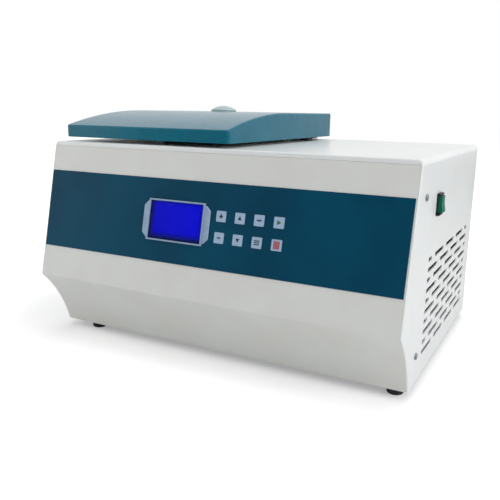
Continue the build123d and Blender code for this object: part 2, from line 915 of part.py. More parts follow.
rest = radians(rocker_rest_angle)
rocker_plane = Plane(
    origin=(pivot_x, switch_y, switch_z), x_dir=(-sin(rest), 0, cos(rest)), z_dir=(0, 1, 0)
)
rocker_radius = well_tall / 2 - rocker_end_clearance
with BuildPart() as power_rocker:
    with BuildSketch(rocker_plane):
        Circle(rocker_radius)
        Rectangle(
            2 * rocker_radius, rocker_skirt, align=(Align.CENTER, Align.MAX), mode=Mode.INTERSECT
        )
        with BuildLine():
            Polyline(
                (-rocker_radius, 0),
                (-rocker_radius, rocker_end_height),
                (0, rocker_middle_height),
                (rocker_radius, rocker_end_height),
                (rocker_radius, 0),
                close=True,
            )
        make_face()
    extrude(amount=well_width / 2 - rocker_side_clearance, both=True)
    crown = power_rocker.faces().sort_by(Axis.X)[-2:]
    fillet(crown.edges().filter_by(Axis.Y, reverse=True), rocker_edge_radius)
    with BuildSketch(rocker_plane):
        Circle(rocker_pin_radius)
    extrude(amount=well_width / 2 + rocker_pin_length - panel_gap, both=True)
power_rocker.part.label = "power_rocker"
export_step(power_rocker.part, "parts/power_rocker.step")

# The lid is a hollow moulding: an upright front band, a crown that runs into a flat rear, open below
port_outer = port_radius + port_wall
lid_port = axis.offset(lid_bottom - plug_depth - sheet)
leaf_screw_places = [
    (lid_x + side * hinge_offset_x + spread * leaf_screw_pitch / 2, hinge_z + leaf_screw_rise)
    for side in (-1, 1)
    for spread in (-1, 1)
]
with BuildPart() as lid_shell:
    add(lid_form())
    add(lid_form(lid_wall, drop=cut_run), mode=Mode.SUBTRACT)
    with BuildSketch(lid_port):
        Circle(port_outer + port_clearance)
    extrude(amount=2 * lid_rear_height, mode=Mode.SUBTRACT)
    with BuildSketch(Plane.XZ.offset(-lid_rear - margin)):
        with Locations(*leaf_screw_places):
            Circle(screw_radius + screw_clearance)
    extrude(amount=lid_wall + 2 * margin, mode=Mode.SUBTRACT)
lid_shell.part.label = "lid_shell"
export_step(lid_shell.part, "parts/lid_shell.step")

# The liner closes the lid's underside, with the round pan that enters the chamber and the port's tube
liner_side = lid_wall + panel_gap
liner_middle_y = (lid_front + lid_rear) / 2
with BuildPart() as lid_liner:
    with BuildSketch(Plane.XY.offset(lid_bottom)):
        with Locations((lid_x, liner_middle_y)):
            RectangleRounded(
                lid_width - 2 * liner_side,
                lid_length - 2 * liner_side,
                lid_corner_radius - lid_wall,
            )
    extrude(amount=liner_thickness)
    with BuildSketch(axis.offset(lid_bottom - plug_depth)):
        Circle(plug_radius)
    extrude(amount=plug_depth)
    fillet(lid_liner.edges().group_by(Axis.Z)[0], radius=plug_edge)
    with BuildSketch(axis.offset(lid_bottom - plug_depth + liner_thickness)):
        Circle(plug_radius - liner_thickness)
    extrude(amount=plug_depth, mode=Mode.SUBTRACT)
    with BuildSketch(axis.offset(lid_bottom - plug_depth)):
        Circle(port_outer)
    extrude(amount=lid_rear_height + plug_depth)
    with BuildSketch(lid_port):
        Circle(port_radius)
    extrude(amount=2 * lid_rear_height, mode=Mode.SUBTRACT)
lid_liner.part.label = "lid_liner"
export_step(lid_liner.part, "parts/lid_liner.step")

with BuildPart() as lid_insulation:
    add(lid_form(liner_side))
    with BuildSketch(Plane.XY.offset(lid_bottom - sheet)):
        with Locations((lid_x, liner_middle_y)):
            Rectangle(lid_width, lid_length)
    extrude(amount=sheet + liner_thickness + panel_gap, mode=Mode.SUBTRACT)
    with BuildSketch(axis.offset(lid_bottom - plug_depth + liner_thickness + panel_gap)):
        Circle(plug_radius - liner_thickness - panel_gap)
    extrude(amount=plug_depth)
    with BuildSketch(lid_port):
        Circle(port_outer + port_clearance)
    extrude(amount=2 * lid_rear_height, mode=Mode.SUBTRACT)
lid_insulation.part.label = "lid_insulation"
export_step(lid_insulation.part, "parts/lid_insulation.step")

# The viewing port has a window at the tube's foot and a domed cap on top
with BuildPart() as sight_window:
    with BuildSketch(axis.offset(lid_bottom - plug_depth)):
        Circle(port_radius - port_clearance)
    extrude(amount=window_thickness)
sight_window.part.label = "sight_window"
export_step(sight_window.part, "parts/sight_window.step")

cap_rim = cap_diameter / 2
cap_rise = cap_height - cap_edge
spigot_radius = port_radius - port_clearance
with BuildPart() as sight_cap:
    with BuildSketch(Plane(origin=(axis_x, axis_y, lid_top), x_dir=(1, 0, 0), z_dir=(0, -1, 0))):
        with BuildLine():
            RadiusArc((0, cap_height), (cap_rim, cap_edge), (cap_rim**2 + cap_rise**2) / (2 * cap_rise))
            Polyline(
                (cap_rim, cap_edge),
                (cap_rim, 0),
                (spigot_radius, 0),
                (spigot_radius, -cap_spigot),
                (0, -cap_spigot),
                (0, cap_height),
            )
        make_face()
    revolve(axis=spin_axis)
sight_cap.part.label = "sight_cap"
export_step(sight_cap.part, "parts/sight_cap.step")

# Chamber: a dark seal that stands up through the cover, a spun steel bowl, its jacket and its foam
with BuildPart() as chamber_seal:
    with BuildSketch(axis.offset(flange_z)):
        Circle(seal_outer)
        Circle(bowl_radius, mode=Mode.SUBTRACT)
    extrude(amount=lid_bottom - seal_gap - flange_z)
    fillet(chamber_seal.edges().group_by(Axis.Z)[-1], radius=seal_round)
chamber_seal.part.label = "chamber_seal"
export_step(chamber_seal.part, "parts/chamber_seal.step")

with BuildPart() as chamber_bowl:
    with BuildSketch(axis.offset(bowl_floor_z - bowl_sheet)):
        Circle(bowl_radius + bowl_sheet)
    extrude(amount=bowl_depth + bowl_sheet)
    fillet(chamber_bowl.edges().group_by(Axis.Z)[0], radius=bowl_corner + bowl_sheet)
    with BuildSketch(axis.offset(flange_z - bowl_sheet)):
        Circle(bowl_radius + bowl_flange)
    extrude(amount=bowl_sheet)
    with BuildPart(mode=Mode.PRIVATE) as bowl_space:
        with BuildSketch(axis.offset(bowl_floor_z)):
            Circle(bowl_radius)
        extrude(amount=bowl_depth)
        fillet(bowl_space.edges().group_by(Axis.Z)[0], radius=bowl_corner)
    add(bowl_space.part, mode=Mode.SUBTRACT)
    with BuildSketch(axis.offset(bowl_floor_z - bowl_sheet)):
        Circle(bowl_hole + bowl_sheet)
    extrude(amount=bowl_collar + bowl_sheet)
    with BuildSketch(axis.offset(bowl_floor_z - 2 * bowl_sheet)):
        Circle(bowl_hole)
    extrude(amount=bowl_collar + 4 * bowl_sheet, mode=Mode.SUBTRACT)
chamber_bowl.part.label = "chamber_bowl"
export_step(chamber_bowl.part, "parts/chamber_bowl.step")

# The evaporator is a jacket round the bowl with raised refrigerant channels
jacket_middle = (bowl_floor_z + bowl_corner + flange_z) / 2
with BuildPart() as evaporator_jacket:
    with BuildSketch(axis.offset(jacket_middle - channel_count * channel_pitch / 2)):
        Circle(jacket_inner + bowl_sheet)
        Circle(jacket_inner, mode=Mode.SUBTRACT)
    extrude(amount=channel_count * channel_pitch)
    for channel in range(channel_count):
        channel_z = jacket_middle + (channel - (channel_count - 1) / 2) * channel_pitch
        with BuildSketch(axis.offset(channel_z - channel_height / 2)):
            Circle(jacket_inner + bowl_sheet + channel_depth)
            Circle(jacket_inner, mode=Mode.SUBTRACT)
        extrude(amount=channel_height)
evaporator_jacket.part.label = "evaporator_jacket"
export_step(evaporator_jacket.part, "parts/evaporator_jacket.step")

insulation_top = flange_z - bowl_sheet - panel_gap
suction_y = axis_y
liquid_y = axis_y + line_spread
suction_z = jacket_middle + (channel_count - 1) / 2 * channel_pitch
liquid_z = jacket_middle - (channel_count - 1) / 2 * channel_pitch
line_holes = [(suction_y, suction_z), (liquid_y, liquid_z)]
with BuildPart() as chamber_insulation:
    with BuildSketch(axis.offset(insulation_bottom)):
        Circle(insulation_radius)
    extrude(amount=insulation_top - insulation_bottom)
    with BuildSketch(axis.offset(insulation_bottom + insulation_floor)):
        Circle(insulation_bore)
    extrude(amount=bowl_depth + insulation_floor, mode=Mode.SUBTRACT)
    with BuildSketch(axis.offset(insulation_bottom)):
        Circle(bowl_hole)
    extrude(amount=insulation_floor, mode=Mode.SUBTRACT)
    with BuildSketch(Plane.YZ.offset(axis_x)):
        with Locations(*line_holes):
            Circle(pipe_radius + pipe_clearance)
    extrude(amount=insulation_radius, mode=Mode.SUBTRACT)
chamber_insulation.part.label = "chamber_insulation"
export_step(chamber_insulation.part, "parts/chamber_insulation.step")

with BuildPart() as chamber_supports:
    with BuildSketch(axis.offset(floor_z)):
        with PolarLocations(support_circle_radius, support_count, start_angle=180 / support_count):
            Rectangle(support_foot_size, support_foot_size)
    extrude(amount=sheet)
    with BuildSketch(axis.offset(floor_z)):
        with PolarLocations(support_circle_radius, support_count, start_angle=180 / support_count):
            Rectangle(support_size, support_size)
            Rectangle(support_size - 2 * sheet, support_size - 2 * sheet, mode=Mode.SUBTRACT)
    extrude(amount=insulation_bottom - floor_z)
chamber_supports.part.label = "chamber_supports"
export_step(chamber_supports.part, "parts/chamber_supports.step")

# The rotor: tubes stand in it at an angle, mouths near the middle and feet towards the rim
cone_drop = (rotor_top_radius - rotor_recess_radius) * tan(radians(tube_angle))
hub_bore = hub_radius + shaft_clearance
with BuildPart() as rotor:
    with BuildSketch(Plane(origin=(axis_x, axis_y, 0), x_dir=(1, 0, 0), z_dir=(0, -1, 0))):
        with BuildLine():
            Polyline(
                (hub_bore, rotor_bottom),
                (rotor_radius - rotor_chamfer, rotor_bottom),
                (rotor_radius, rotor_bottom + rotor_chamfer),
                (rotor_radius, rotor_bottom + rotor_chamfer + rotor_belt),
                (rotor_rim_radius, rotor_top - rotor_rim_drop),
                (rotor_top_radius, rotor_top),
                (rotor_recess_radius, rotor_top - cone_drop),
                (rotor_recess_radius, recess_z),
                (hub_bore, recess_z),
                close=True,
            )
        make_face()
    revolve(axis=spin_axis)
    for tube in range(tube_count):
        turn = radians(360 / tube_count * tube)
        lean = radians(tube_angle)
        mouth_z = rotor_top - (rotor_top_radius - tube_mouth_radius) * tan(lean)
        mouth = Plane(
            origin=(axis_x + tube_mouth_radius * cos(turn), axis_y + tube_mouth_radius * sin(turn), mouth_z),
            z_dir=(-sin(lean) * cos(turn), -sin(lean) * sin(turn), cos(lean)),
        )
        with BuildSketch(mouth.offset(-tube_depth)):
            Circle(tube_diameter / 2)
        extrude(amount=tube_depth + tube_diameter, mode=Mode.SUBTRACT)
rotor.part.label = "rotor"
export_step(rotor.part, "parts/rotor.step")

with BuildPart() as rotor_nut:
    with BuildSketch(axis.offset(recess_z)):
        Circle(nut_radius)
        with PolarLocations(nut_radius + nut_flute_radius / 2, nut_flutes):
            Circle(nut_flute_radius, mode=Mode.SUBTRACT)
    extrude(amount=nut_height)
    with BuildSketch(axis.offset(recess_z)):
        Circle(stud_radius + shaft_clearance)
    extrude(amount=stud_length + panel_gap, mode=Mode.SUBTRACT)
rotor_nut.part.label = "rotor_nut"
export_step(rotor_nut.part, "parts/rotor_nut.step")

# The shaft runs in two bearings and carries the armature, the rotor's seat and the nut's stud
shaft_foot = plate_top + shaft_foot_gap
with BuildPart() as drive_shaft:
    with BuildSketch(Plane(origin=(axis_x, axis_y, 0), x_dir=(1, 0, 0), z_dir=(0, -1, 0))):
        with BuildLine():
            Polyline(
                (0, shaft_foot),
                (shaft_radius, shaft_foot),
                (shaft_radius, rotor_bottom - seat_height),
                (seat_radius, rotor_bottom - seat_height),
                (seat_radius, rotor_bottom),
                (hub_radius, rotor_bottom),
                (hub_radius, recess_z),
                (stud_radius, recess_z),
                (stud_radius, recess_z + stud_length),
                (0, recess_z + stud_length),
                close=True,
            )
        make_face()
    revolve(axis=spin_axis)
drive_shaft.part.label = "drive_shaft"
export_step(drive_shaft.part, "parts/drive_shaft.step")

with BuildPart() as motor_armature:
    with BuildSketch(axis.offset(armature_z)):
        Circle(armature_radius)
        Circle(shaft_radius + shaft_clearance, mode=Mode.SUBTRACT)
    extrude(amount=armature_height)
motor_armature.part.label = "motor_armature"
export_step(motor_armature.part, "parts/motor_armature.step")

stator_inner = armature_radius + motor_air_gap
with BuildPart() as motor_stator:
    with BuildSketch(axis.offset(armature_z)):
        Circle(motor_radius - motor_wall - panel_gap)
        Circle(stator_inner, mode=Mode.SUBTRACT)
    extrude(amount=armature_height)
    with BuildSketch(axis.offset(armature_z - winding_overhang)):
        Circle(motor_radius - 2 * motor_wall - panel_gap)
        Circle(stator_inner + motor_air_gap, mode=Mode.SUBTRACT)
    extrude(amount=armature_height + 2 * winding_overhang)
motor_stator.part.label = "motor_stator"
export_step(motor_stator.part, "parts/motor_stator.step")

# The motor's plate carries the lower bearing, and its housing drops over it with the upper one
bearing_seat = bearing_radius + panel_gap
seat_outer = bearing_radius + motor_wall
with BuildPart() as motor_plate:
    with BuildSketch(axis.offset(damper_top)):
        Circle(plate_radius)
    extrude(amount=plate_thickness)
    with BuildSketch(axis.offset(plate_top)):
        Circle(motor_radius - motor_wall - panel_gap)
        Circle(seat_outer + motor_wall, mode=Mode.SUBTRACT)
    extrude(amount=motor_wall)
    with BuildSketch(axis.offset(plate_top)):
        Circle(seat_outer)
        Circle(bearing_seat, mode=Mode.SUBTRACT)
    extrude(amount=motor_wall + bearing_height)
motor_plate.part.label = "motor_plate"
export_step(motor_plate.part, "parts/motor_plate.step")

with BuildPart() as motor_housing:
    with BuildSketch(axis.offset(plate_top)):
        Circle(motor_radius)
    extrude(amount=motor_height)
    fillet(motor_housing.edges().group_by(Axis.Z)[-1], radius=motor_wall)
    with BuildSketch(axis.offset(plate_top)):
        Circle(motor_radius - motor_wall)
    extrude(amount=motor_height - motor_wall, mode=Mode.SUBTRACT)
    with BuildSketch(axis.offset(upper_bearing_z)):
        Circle(seat_outer)
        Circle(bearing_seat, mode=Mode.SUBTRACT)
    extrude(amount=bearing_height)
    with BuildSketch(axis.offset(motor_top - 2 * motor_wall)):
        Circle(shaft_radius + motor_wall)
    extrude(amount=3 * motor_wall, mode=Mode.SUBTRACT)
motor_housing.part.label = "motor_housing"
export_step(motor_housing.part, "parts/motor_housing.step")

with BuildPart() as motor_bearings:
    for bearing_z in (lower_bearing_z, upper_bearing_z):
        with BuildSketch(axis.offset(bearing_z)):
            Circle(bearing_radius)
            Circle(shaft_radius + shaft_clearance, mode=Mode.SUBTRACT)
        extrude(amount=bearing_height)
motor_bearings.part.label = "motor_bearings"
export_step(motor_bearings.part, "parts/motor_bearings.step")

with BuildPart() as motor_dampers:
    with BuildSketch(axis.offset(floor_z)):
        with PolarLocations(damper_circle_radius, damper_count):
            Circle(damper_radius)
    extrude(amount=damper_height)
motor_dampers.part.label = "motor_dampers"
export_step(motor_dampers.part, "parts/motor_dampers.step")

# Hinges: base leaves welded to the cover with two outer knuckles, lid leaves with the middle one, pins
hinge_centres = [lid_x - hinge_offset_x, lid_x + hinge_offset_x]
base_leaf_z = top_z
with BuildPart() as hinge_base_leaves:
    for centre in hinge_centres:
        with BuildSketch(Plane.XY.offset(base_leaf_z)):
            with Locations((centre, hinge_y + knuckle_radius)):
                Rectangle(hinge_width, leaf_reach + knuckle_radius, align=(Align.CENTER, Align.MAX))
        extrude(amount=leaf_thickness)
        with BuildSketch(Plane.YZ.offset(centre)):
            with Locations((hinge_y, hinge_z)):
                Circle(knuckle_radius)
            with Locations((hinge_y, base_leaf_z)):
                Rectangle(2 * knuckle_radius, hinge_z - base_leaf_z, align=(Align.CENTER, Align.MIN))
        extrude(amount=hinge_width / 2, both=True)
        with BuildSketch(Plane.YZ.offset(centre)):
            with Locations((hinge_y, base_leaf_z + leaf_thickness)):
                Rectangle(4 * knuckle_radius, 4 * knuckle_radius, align=(Align.CENTER, Align.MIN))
        extrude(amount=middle_knuckle / 2 + panel_gap, both=True, mode=Mode.SUBTRACT)
        with BuildSketch(Plane.YZ.offset(centre)):
            with Locations((hinge_y, hinge_z)):
                Circle(pin_radius + pin_seat_clearance)
        extrude(amount=hinge_width, both=True, mode=Mode.SUBTRACT)
hinge_base_leaves.part.label = "hinge_base_leaves"
export_step(hinge_base_leaves.part, "parts/hinge_base_leaves.step")

lid_leaf_y = lid_rear + panel_gap
with BuildPart() as hinge_lid_leaves:
    for centre in hinge_centres:
        with BuildSketch(Plane.XZ.offset(-lid_leaf_y)):
            with Locations((centre, hinge_z)):
                Rectangle(hinge_width, leaf_height, align=(Align.CENTER, Align.MIN))
            with Locations((centre, hinge_z + leaf_screw_rise)):
                with GridLocations(leaf_screw_pitch, 1, 2, 1):
                    Circle(screw_radius + screw_clearance, mode=Mode.SUBTRACT)
        extrude(amount=-leaf_thickness)
        with BuildSketch(Plane.YZ.offset(centre)):
            with Locations((hinge_y, hinge_z)):
                Circle(knuckle_radius)
            with Locations((hinge_y, hinge_z)):
                Rectangle(hinge_y - lid_leaf_y, knuckle_radius, align=(Align.MAX, Align.MIN))
            with Locations((hinge_y, hinge_z)):
                Circle(pin_radius + pin_run_clearance, mode=Mode.SUBTRACT)
        extrude(amount=middle_knuckle / 2, both=True)
hinge_lid_leaves.part.label = "hinge_lid_leaves"
export_step(hinge_lid_leaves.part, "parts/hinge_lid_leaves.step")

with BuildPart() as hinge_pins:
    for centre in hinge_centres:
        with BuildSketch(Plane.YZ.offset(centre)):
            with Locations((hinge_y, hinge_z)):
                Circle(pin_radius)
        extrude(amount=hinge_width / 2 + pin_end, both=True)
hinge_pins.part.label = "hinge_pins"
export_step(hinge_pins.part, "parts/hinge_pins.step")

leaf_outside = lid_leaf_y + leaf_thickness
with BuildPart() as hinge_lid_screws:
    with BuildSketch(Plane.XZ.offset(-leaf_outside)):
        with Locations(*leaf_screw_places):
            Circle(hinge_screw_head)
    extrude(amount=-hinge_screw_rise)
    with BuildSketch(Plane.XZ.offset(-leaf_outside)):
        with Locations(*leaf_screw_places):
            Circle(screw_radius)
    extrude(amount=leaf_thickness + panel_gap + lid_wall)
hinge_lid_screws.part.label = "hinge_lid_screws"
export_step(hinge_lid_screws.part, "parts/hinge_lid_screws.step")

# Lock: a tongue on the lid drops into a slot, where a solenoid's bolt can slide through its window
bolt_z = lid_bottom - tongue_length + tongue_window
with BuildPart() as lid_striker:
    with BuildSketch(Plane.XY.offset(lid_bottom - leaf_thickness)):
        with Locations((lock_x, lock_y)):
            RectangleRounded(tongue_plate_width, tongue_plate_length, tongue_plate_round)
    extrude(amount=leaf_thickness)
    with BuildSketch(Plane.XY.offset(lid_bottom - tongue_length)):
        with Locations((lock_x, lock_y)):
            Rectangle(tongue_width, tongue_thickness)
    extrude(amount=tongue_length)
    with BuildSketch(Plane.XZ.offset(-lock_y)):
        with Locations((lock_x, bolt_z)):
            Rectangle(tongue_window, tongue_window)
    extrude(amount=tongue_thickness, both=True, mode=Mode.SUBTRACT)
lid_striker.part.label = "lid_striker"
export_step(lid_striker.part, "parts/lid_striker.step")

slot_rear = lock_y + latch_slot_depth / 2
with BuildPart() as latch_body:
    with BuildSketch(Plane.XY.offset(flange_z - latch_height)):
        with Locations((lock_x, lock_y - latch_front)):
            Rectangle(latch_width, latch_length, align=(Align.CENTER, Align.MIN))
    extrude(amount=latch_height)
    with BuildSketch(Plane.XY.offset(flange_z)):
        with Locations((lock_x, lock_y)):
            Rectangle(latch_slot_width, latch_slot_depth)
    extrude(amount=-latch_slot_fall, mode=Mode.SUBTRACT)
    with BuildSketch(Plane.XZ.offset(-slot_rear)):
        with Locations((lock_x, bolt_z)):
            Circle(bolt_radius + bolt_clearance)
    extrude(amount=-(bolt_standoff + bolt_length + panel_gap), mode=Mode.SUBTRACT)
latch_body.part.label = "latch_body"
export_step(latch_body.part, "parts/latch_body.step")

with BuildPart() as latch_bolt:
    with BuildSketch(Plane.XZ.offset(-slot_rear - bolt_standoff)):
        with Locations((lock_x, bolt_z)):
            Circle(bolt_radius)
    extrude(amount=-bolt_length)
latch_bolt.part.label = "latch_bolt"
export_step(latch_bolt.part, "parts/latch_bolt.step")

with BuildPart() as lid_bumpers:
    with BuildSketch(Plane.XY.offset(top_z)):
        with Locations((lid_x, rear_y - bumper_from_rear)):
            with GridLocations(lid_width - 2 * bumper_inset, 1, 2, 1):
                RectangleRounded(bumper_size, bumper_size, bumper_round)
    extrude(amount=lid_gap - seal_gap)
    fillet(lid_bumpers.edges().group_by(Axis.Z)[-1], radius=bumper_round / 2)
lid_bumpers.part.label = "lid_bumpers"
export_step(lid_bumpers.part, "parts/lid_bumpers.step")

# A partition keeps the chamber's side apart from the warm side; the lines cross it
with BuildPart() as partition:
    with BuildSketch(Plane.YZ.offset(partition_x)):
        with Locations((front_y + partition_from_front, floor_z + panel_gap)):
            Rectangle(
                cabinet_depth - rear_flange - panel_gap - partition_from_front,
                insulation_top - floor_z - panel_gap,
                align=(Align.MIN, Align.MIN),
            )
        with Locations(*line_holes):
            Circle(pipe_radius + pipe_clearance, mode=Mode.SUBTRACT)
    extrude(amount=sheet)
partition.part.label = "partition"
export_step(partition.part, "parts/partition.step")

# Compressor: a hollow welded can on a base plate, standing on four rubber grommets
compressor_base = floor_z + grommet_height
can_bottom = compressor_base + compressor_plate
compressor_top = compressor_base + compressor_height
with BuildPart() as compressor:
    with BuildSketch(Plane.XY.offset(compressor_base)):
        with Locations((compressor_x, compressor_y)):
            RectangleRounded(compressor_plate_size, compressor_plate_size, grommet_radius)
    extrude(amount=compressor_plate)
    with BuildSketch(Plane.XY.offset(can_bottom)):
        with Locations((compressor_x, compressor_y)):
            Circle(compressor_radius)
    extrude(amount=compressor_top - can_bottom)
    fillet(compressor.edges().group_by(Axis.Z)[-1], radius=compressor_dome)
    with BuildSketch(Plane.XY.offset(can_bottom + compressor_seam)):
        with Locations((compressor_x, compressor_y)):
            Circle(compressor_radius + compressor_wall)
    extrude(amount=2 * compressor_wall)
    with BuildSketch(Plane.YZ.offset(compressor_x)):
        with Locations((compressor_y - compressor_radius, can_bottom + compressor_seam / 2)):
            RectangleRounded(terminal_box, terminal_box, compressor_wall)
    extrude(amount=terminal_box / 2, both=True)
    with BuildPart(mode=Mode.PRIVATE) as can_space:
        with BuildSketch(Plane.XY.offset(can_bottom)):
            with Locations((compressor_x, compressor_y)):
                Circle(compressor_radius - compressor_wall)
        extrude(amount=compressor_top - can_bottom - compressor_wall)
        fillet(can_space.edges().group_by(Axis.Z)[-1], radius=compressor_dome - compressor_wall)
    add(can_space.part, mode=Mode.SUBTRACT)
compressor.part.label = "compressor"
export_step(compressor.part, "parts/compressor.step")

with BuildPart() as compressor_grommets:
    with BuildSketch(Plane.XY.offset(floor_z)):
        with Locations((compressor_x, compressor_y)):
            with GridLocations(grommet_pitch, grommet_pitch, 2, 2):
                Circle(grommet_radius)
    extrude(amount=grommet_height)
compressor_grommets.part.label = "compressor_grommets"
export_step(compressor_grommets.part, "parts/compressor_grommets.step")

# Condenser: a finned block behind the vents, on two legs
condenser_low = vent_z - condenser_height / 2
fin_pitch = condenser_length / (fin_count + 1)
with BuildPart() as condenser:
    with BuildSketch(Plane.YZ.offset(condenser_x)):
        with Locations((fan_y, vent_z)):
            Rectangle(condenser_length, condenser_height)
        with Locations((fan_y, floor_z)):
            with GridLocations(condenser_length - leg_width, 1, 2, 1):
                Rectangle(leg_width, condenser_low - floor_z, align=(Align.CENTER, Align.MIN))
    extrude(amount=condenser_thickness / 2, both=True)
    for face in (-1, 1):
        with BuildSketch(Plane.YZ.offset(condenser_x + face * (condenser_thickness / 2 - fin_slot_depth))):
            with Locations((fan_y, vent_z)):
                with GridLocations(fin_pitch, 1, fin_count, 1):
                    Rectangle(fin_slot, condenser_height - 2 * fin_slot)
        extrude(amount=face * fin_slot_depth, mode=Mode.SUBTRACT)
condenser.part.label = "condenser"
export_step(condenser.part, "parts/condenser.step")

# Fan: a ring on the condenser's inner face, a motor on four arms, and five pitched blades
condenser_face = condenser_x - condenser_thickness / 2
ring_end = fan_x - fan_ring_reach
ring_inner = fan_radius + fan_clearance
with BuildPart() as fan_shroud:
    with BuildSketch(Plane.YZ.offset(condenser_face - sheet)):
        with Locations((fan_y, vent_z)):
            Rectangle(2 * ring_inner + 4 * sheet, condenser_height)
            Circle(ring_inner, mode=Mode.SUBTRACT)
    extrude(amount=sheet - panel_gap)
    with BuildSketch(Plane.YZ.offset(ring_end)):
        with Locations((fan_y, vent_z)):
            Circle(ring_inner + sheet)
            Circle(ring_inner, mode=Mode.SUBTRACT)
    extrude(amount=condenser_face - sheet - ring_end)
fan_shroud.part.label = "fan_shroud"
export_step(fan_shroud.part, "parts/fan_shroud.step")

arm_face = ring_end - panel_gap
with BuildPart() as fan_motor:
    with BuildSketch(Plane.YZ.offset(arm_face - sheet)):
        with Locations((fan_y, vent_z)):
            Rectangle(2 * (ring_inner + sheet), fan_arm_width)
            Rectangle(fan_arm_width, 2 * (ring_inner + sheet))
    extrude(amount=sheet)
    with BuildSketch(Plane.YZ.offset(arm_face)):
        with Locations((fan_y, vent_z)):
            Circle(fan_hub_radius)
    extrude(amount=-fan_motor_length)
    with BuildSketch(Plane.YZ.offset(arm_face)):
        with Locations((fan_y, vent_z)):
            Circle(fan_shaft_radius + shaft_clearance)
    extrude(amount=-fan_shaft_length - panel_gap, mode=Mode.SUBTRACT)
fan_motor.part.label = "fan_motor"
export_step(fan_motor.part, "parts/fan_motor.step")

hub_front = arm_face + fan_hub_gap
with BuildPart() as fan_blades:
    with BuildSketch(Plane.YZ.offset(hub_front)):
        with Locations((fan_y, vent_z)):
            Circle(fan_hub_radius)
    extrude(amount=fan_hub_length)
    with BuildSketch(Plane.YZ.offset(hub_front)):
        with Locations((fan_y, vent_z)):
            Circle(fan_shaft_radius)
    extrude(amount=-fan_hub_gap - fan_shaft_length)
    for blade in range(fan_blades_count):
        turn = radians(360 / fan_blades_count * blade)
        pitch = radians(fan_pitch_angle)
        along = Vector(0, cos(turn), sin(turn))
        across = Vector(sin(pitch), -sin(turn) * cos(pitch), cos(turn) * cos(pitch))
        middle = Vector(hub_front + fan_hub_length / 2, fan_y, vent_z)
        with BuildSketch(Plane(origin=middle, x_dir=along, z_dir=along.cross(across))):
            with Locations((fan_hub_radius - fan_blade_root, 0)):
                outline = Rectangle(
                    fan_blade_length + fan_blade_root, fan_blade_chord, align=(Align.MIN, Align.CENTER)
                )
            fillet(outline.vertices().group_by(Axis.X)[-1], radius=fan_blade_round)
        extrude(amount=fan_blade_thickness / 2, both=True)
fan_blades.part.label = "fan_blades"
export_step(fan_blades.part, "parts/fan_blades.step")

# Brazed lines: discharge to the condenser, liquid through a drier to the jacket, suction back
line_y = condenser_end + line_reach
discharge_z = floor_z + discharge_height
condensed_z = floor_z + condensed_height
suction_low_z = floor_z + suction_height
drier_x = compressor_x + drier_offset_x
drier_low_x = drier_x - drier_length / 2
drier_high_x = drier_x + drier_length / 2
line_end_x = axis_x + jacket_inner + bowl_sheet + channel_depth + pipe_clearance
can_left_x = compressor_x - compressor_radius + panel_gap
discharge = [
    (compressor_x, compressor_y + compressor_radius + panel_gap, discharge_z),
    (compressor_x, line_y, discharge_z),
    (condenser_x, line_y, discharge_z),
    (condenser_x, condenser_end + panel_gap, discharge_z),
]
condensed = [
    (condenser_x, condenser_end + panel_gap, condensed_z),
    (condenser_x, line_y, condensed_z),
    (drier_high_x - pipe_clearance, line_y, condensed_z),
]
liquid = [
    (drier_low_x + pipe_clearance, line_y, condensed_z),
    (riser_x, line_y, condensed_z),
    (riser_x, line_y, liquid_z),
    (riser_x, liquid_y, liquid_z),
    (line_end_x, liquid_y, liquid_z),
]
suction = [
    (can_left_x, suction_y, suction_low_z),
    (riser_x, suction_y, suction_low_z),
    (riser_x, suction_y, suction_z),
    (line_end_x, suction_y, suction_z),
]
with BuildPart() as refrigerant_lines:
    for route in (discharge, condensed, liquid, suction):
        with BuildLine() as run:
            FilletPolyline(*route, radius=pipe_bend)
        first = run.line @ 0
        with BuildSketch(Plane(origin=first, z_dir=run.line % 0)):
            Circle(pipe_radius)
        sweep(path=run.line)
    with BuildSketch(Plane.YZ.offset(drier_x)):
        with Locations((line_y, condensed_z)):
            Circle(drier_radius)
    extrude(amount=drier_length / 2, both=True)
    round_edges = refrigerant_lines.edges().filter_by(GeomType.CIRCLE)
    chamfer(
        round_edges.filter_by(lambda edge: abs(edge.radius - drier_radius) < pipe_clearance / 2),
        length=drier_chamfer,
    )
refrigerant_lines.part.label = "refrigerant_lines"
export_step(refrigerant_lines.part, "parts/refrigerant_lines.step")

# Mains inlet in the rear panel: a flange outside, a body through the cut-out and three flat pins
with BuildPart() as power_inlet:
    with BuildSketch(Plane.XZ.offset(-rear_y)):
        with Locations((inlet_x, inlet_z)):
            RectangleRounded(inlet_flange_width, inlet_flange_height, inlet_flange_round)
    extrude(amount=-inlet_flange_thickness)
    with BuildSketch(Plane.XZ.offset(-rear_y)):
        with Locations((inlet_x, inlet_z)):
            Rectangle(inlet_width - 2 * panel_gap, inlet_height - 2 * panel_gap)
    extrude(amount=inlet_depth)
    with BuildSketch(Plane.XZ.offset(-rear_y - inlet_flange_thickness)):
        with Locations((inlet_x, inlet_z)):
            cavity = Rectangle(inlet_cavity_width, inlet_cavity_height)
        chamfer(cavity.vertices().group_by(Axis.Y)[0], length=inlet_chamfer)
    extrude(amount=inlet_cavity_depth + inlet_flange_thickness, mode=Mode.SUBTRACT)
    with BuildSketch(Plane.XZ.offset(-rear_y + inlet_cavity_depth)):
        with Locations((inlet_x, inlet_z + inlet_pin_height / 2)):
            Rectangle(inlet_pin_thickness, inlet_pin_height)
        with Locations((inlet_x, inlet_z - inlet_pin_height / 2)):
            with GridLocations(2 * inlet_pin_spread, 1, 2, 1):
                Rectangle(inlet_pin_thickness, inlet_pin_height)
    extrude(amount=-inlet_pin_length)
power_inlet.part.label = "power_inlet"
export_step(power_inlet.part, "parts/power_inlet.step")

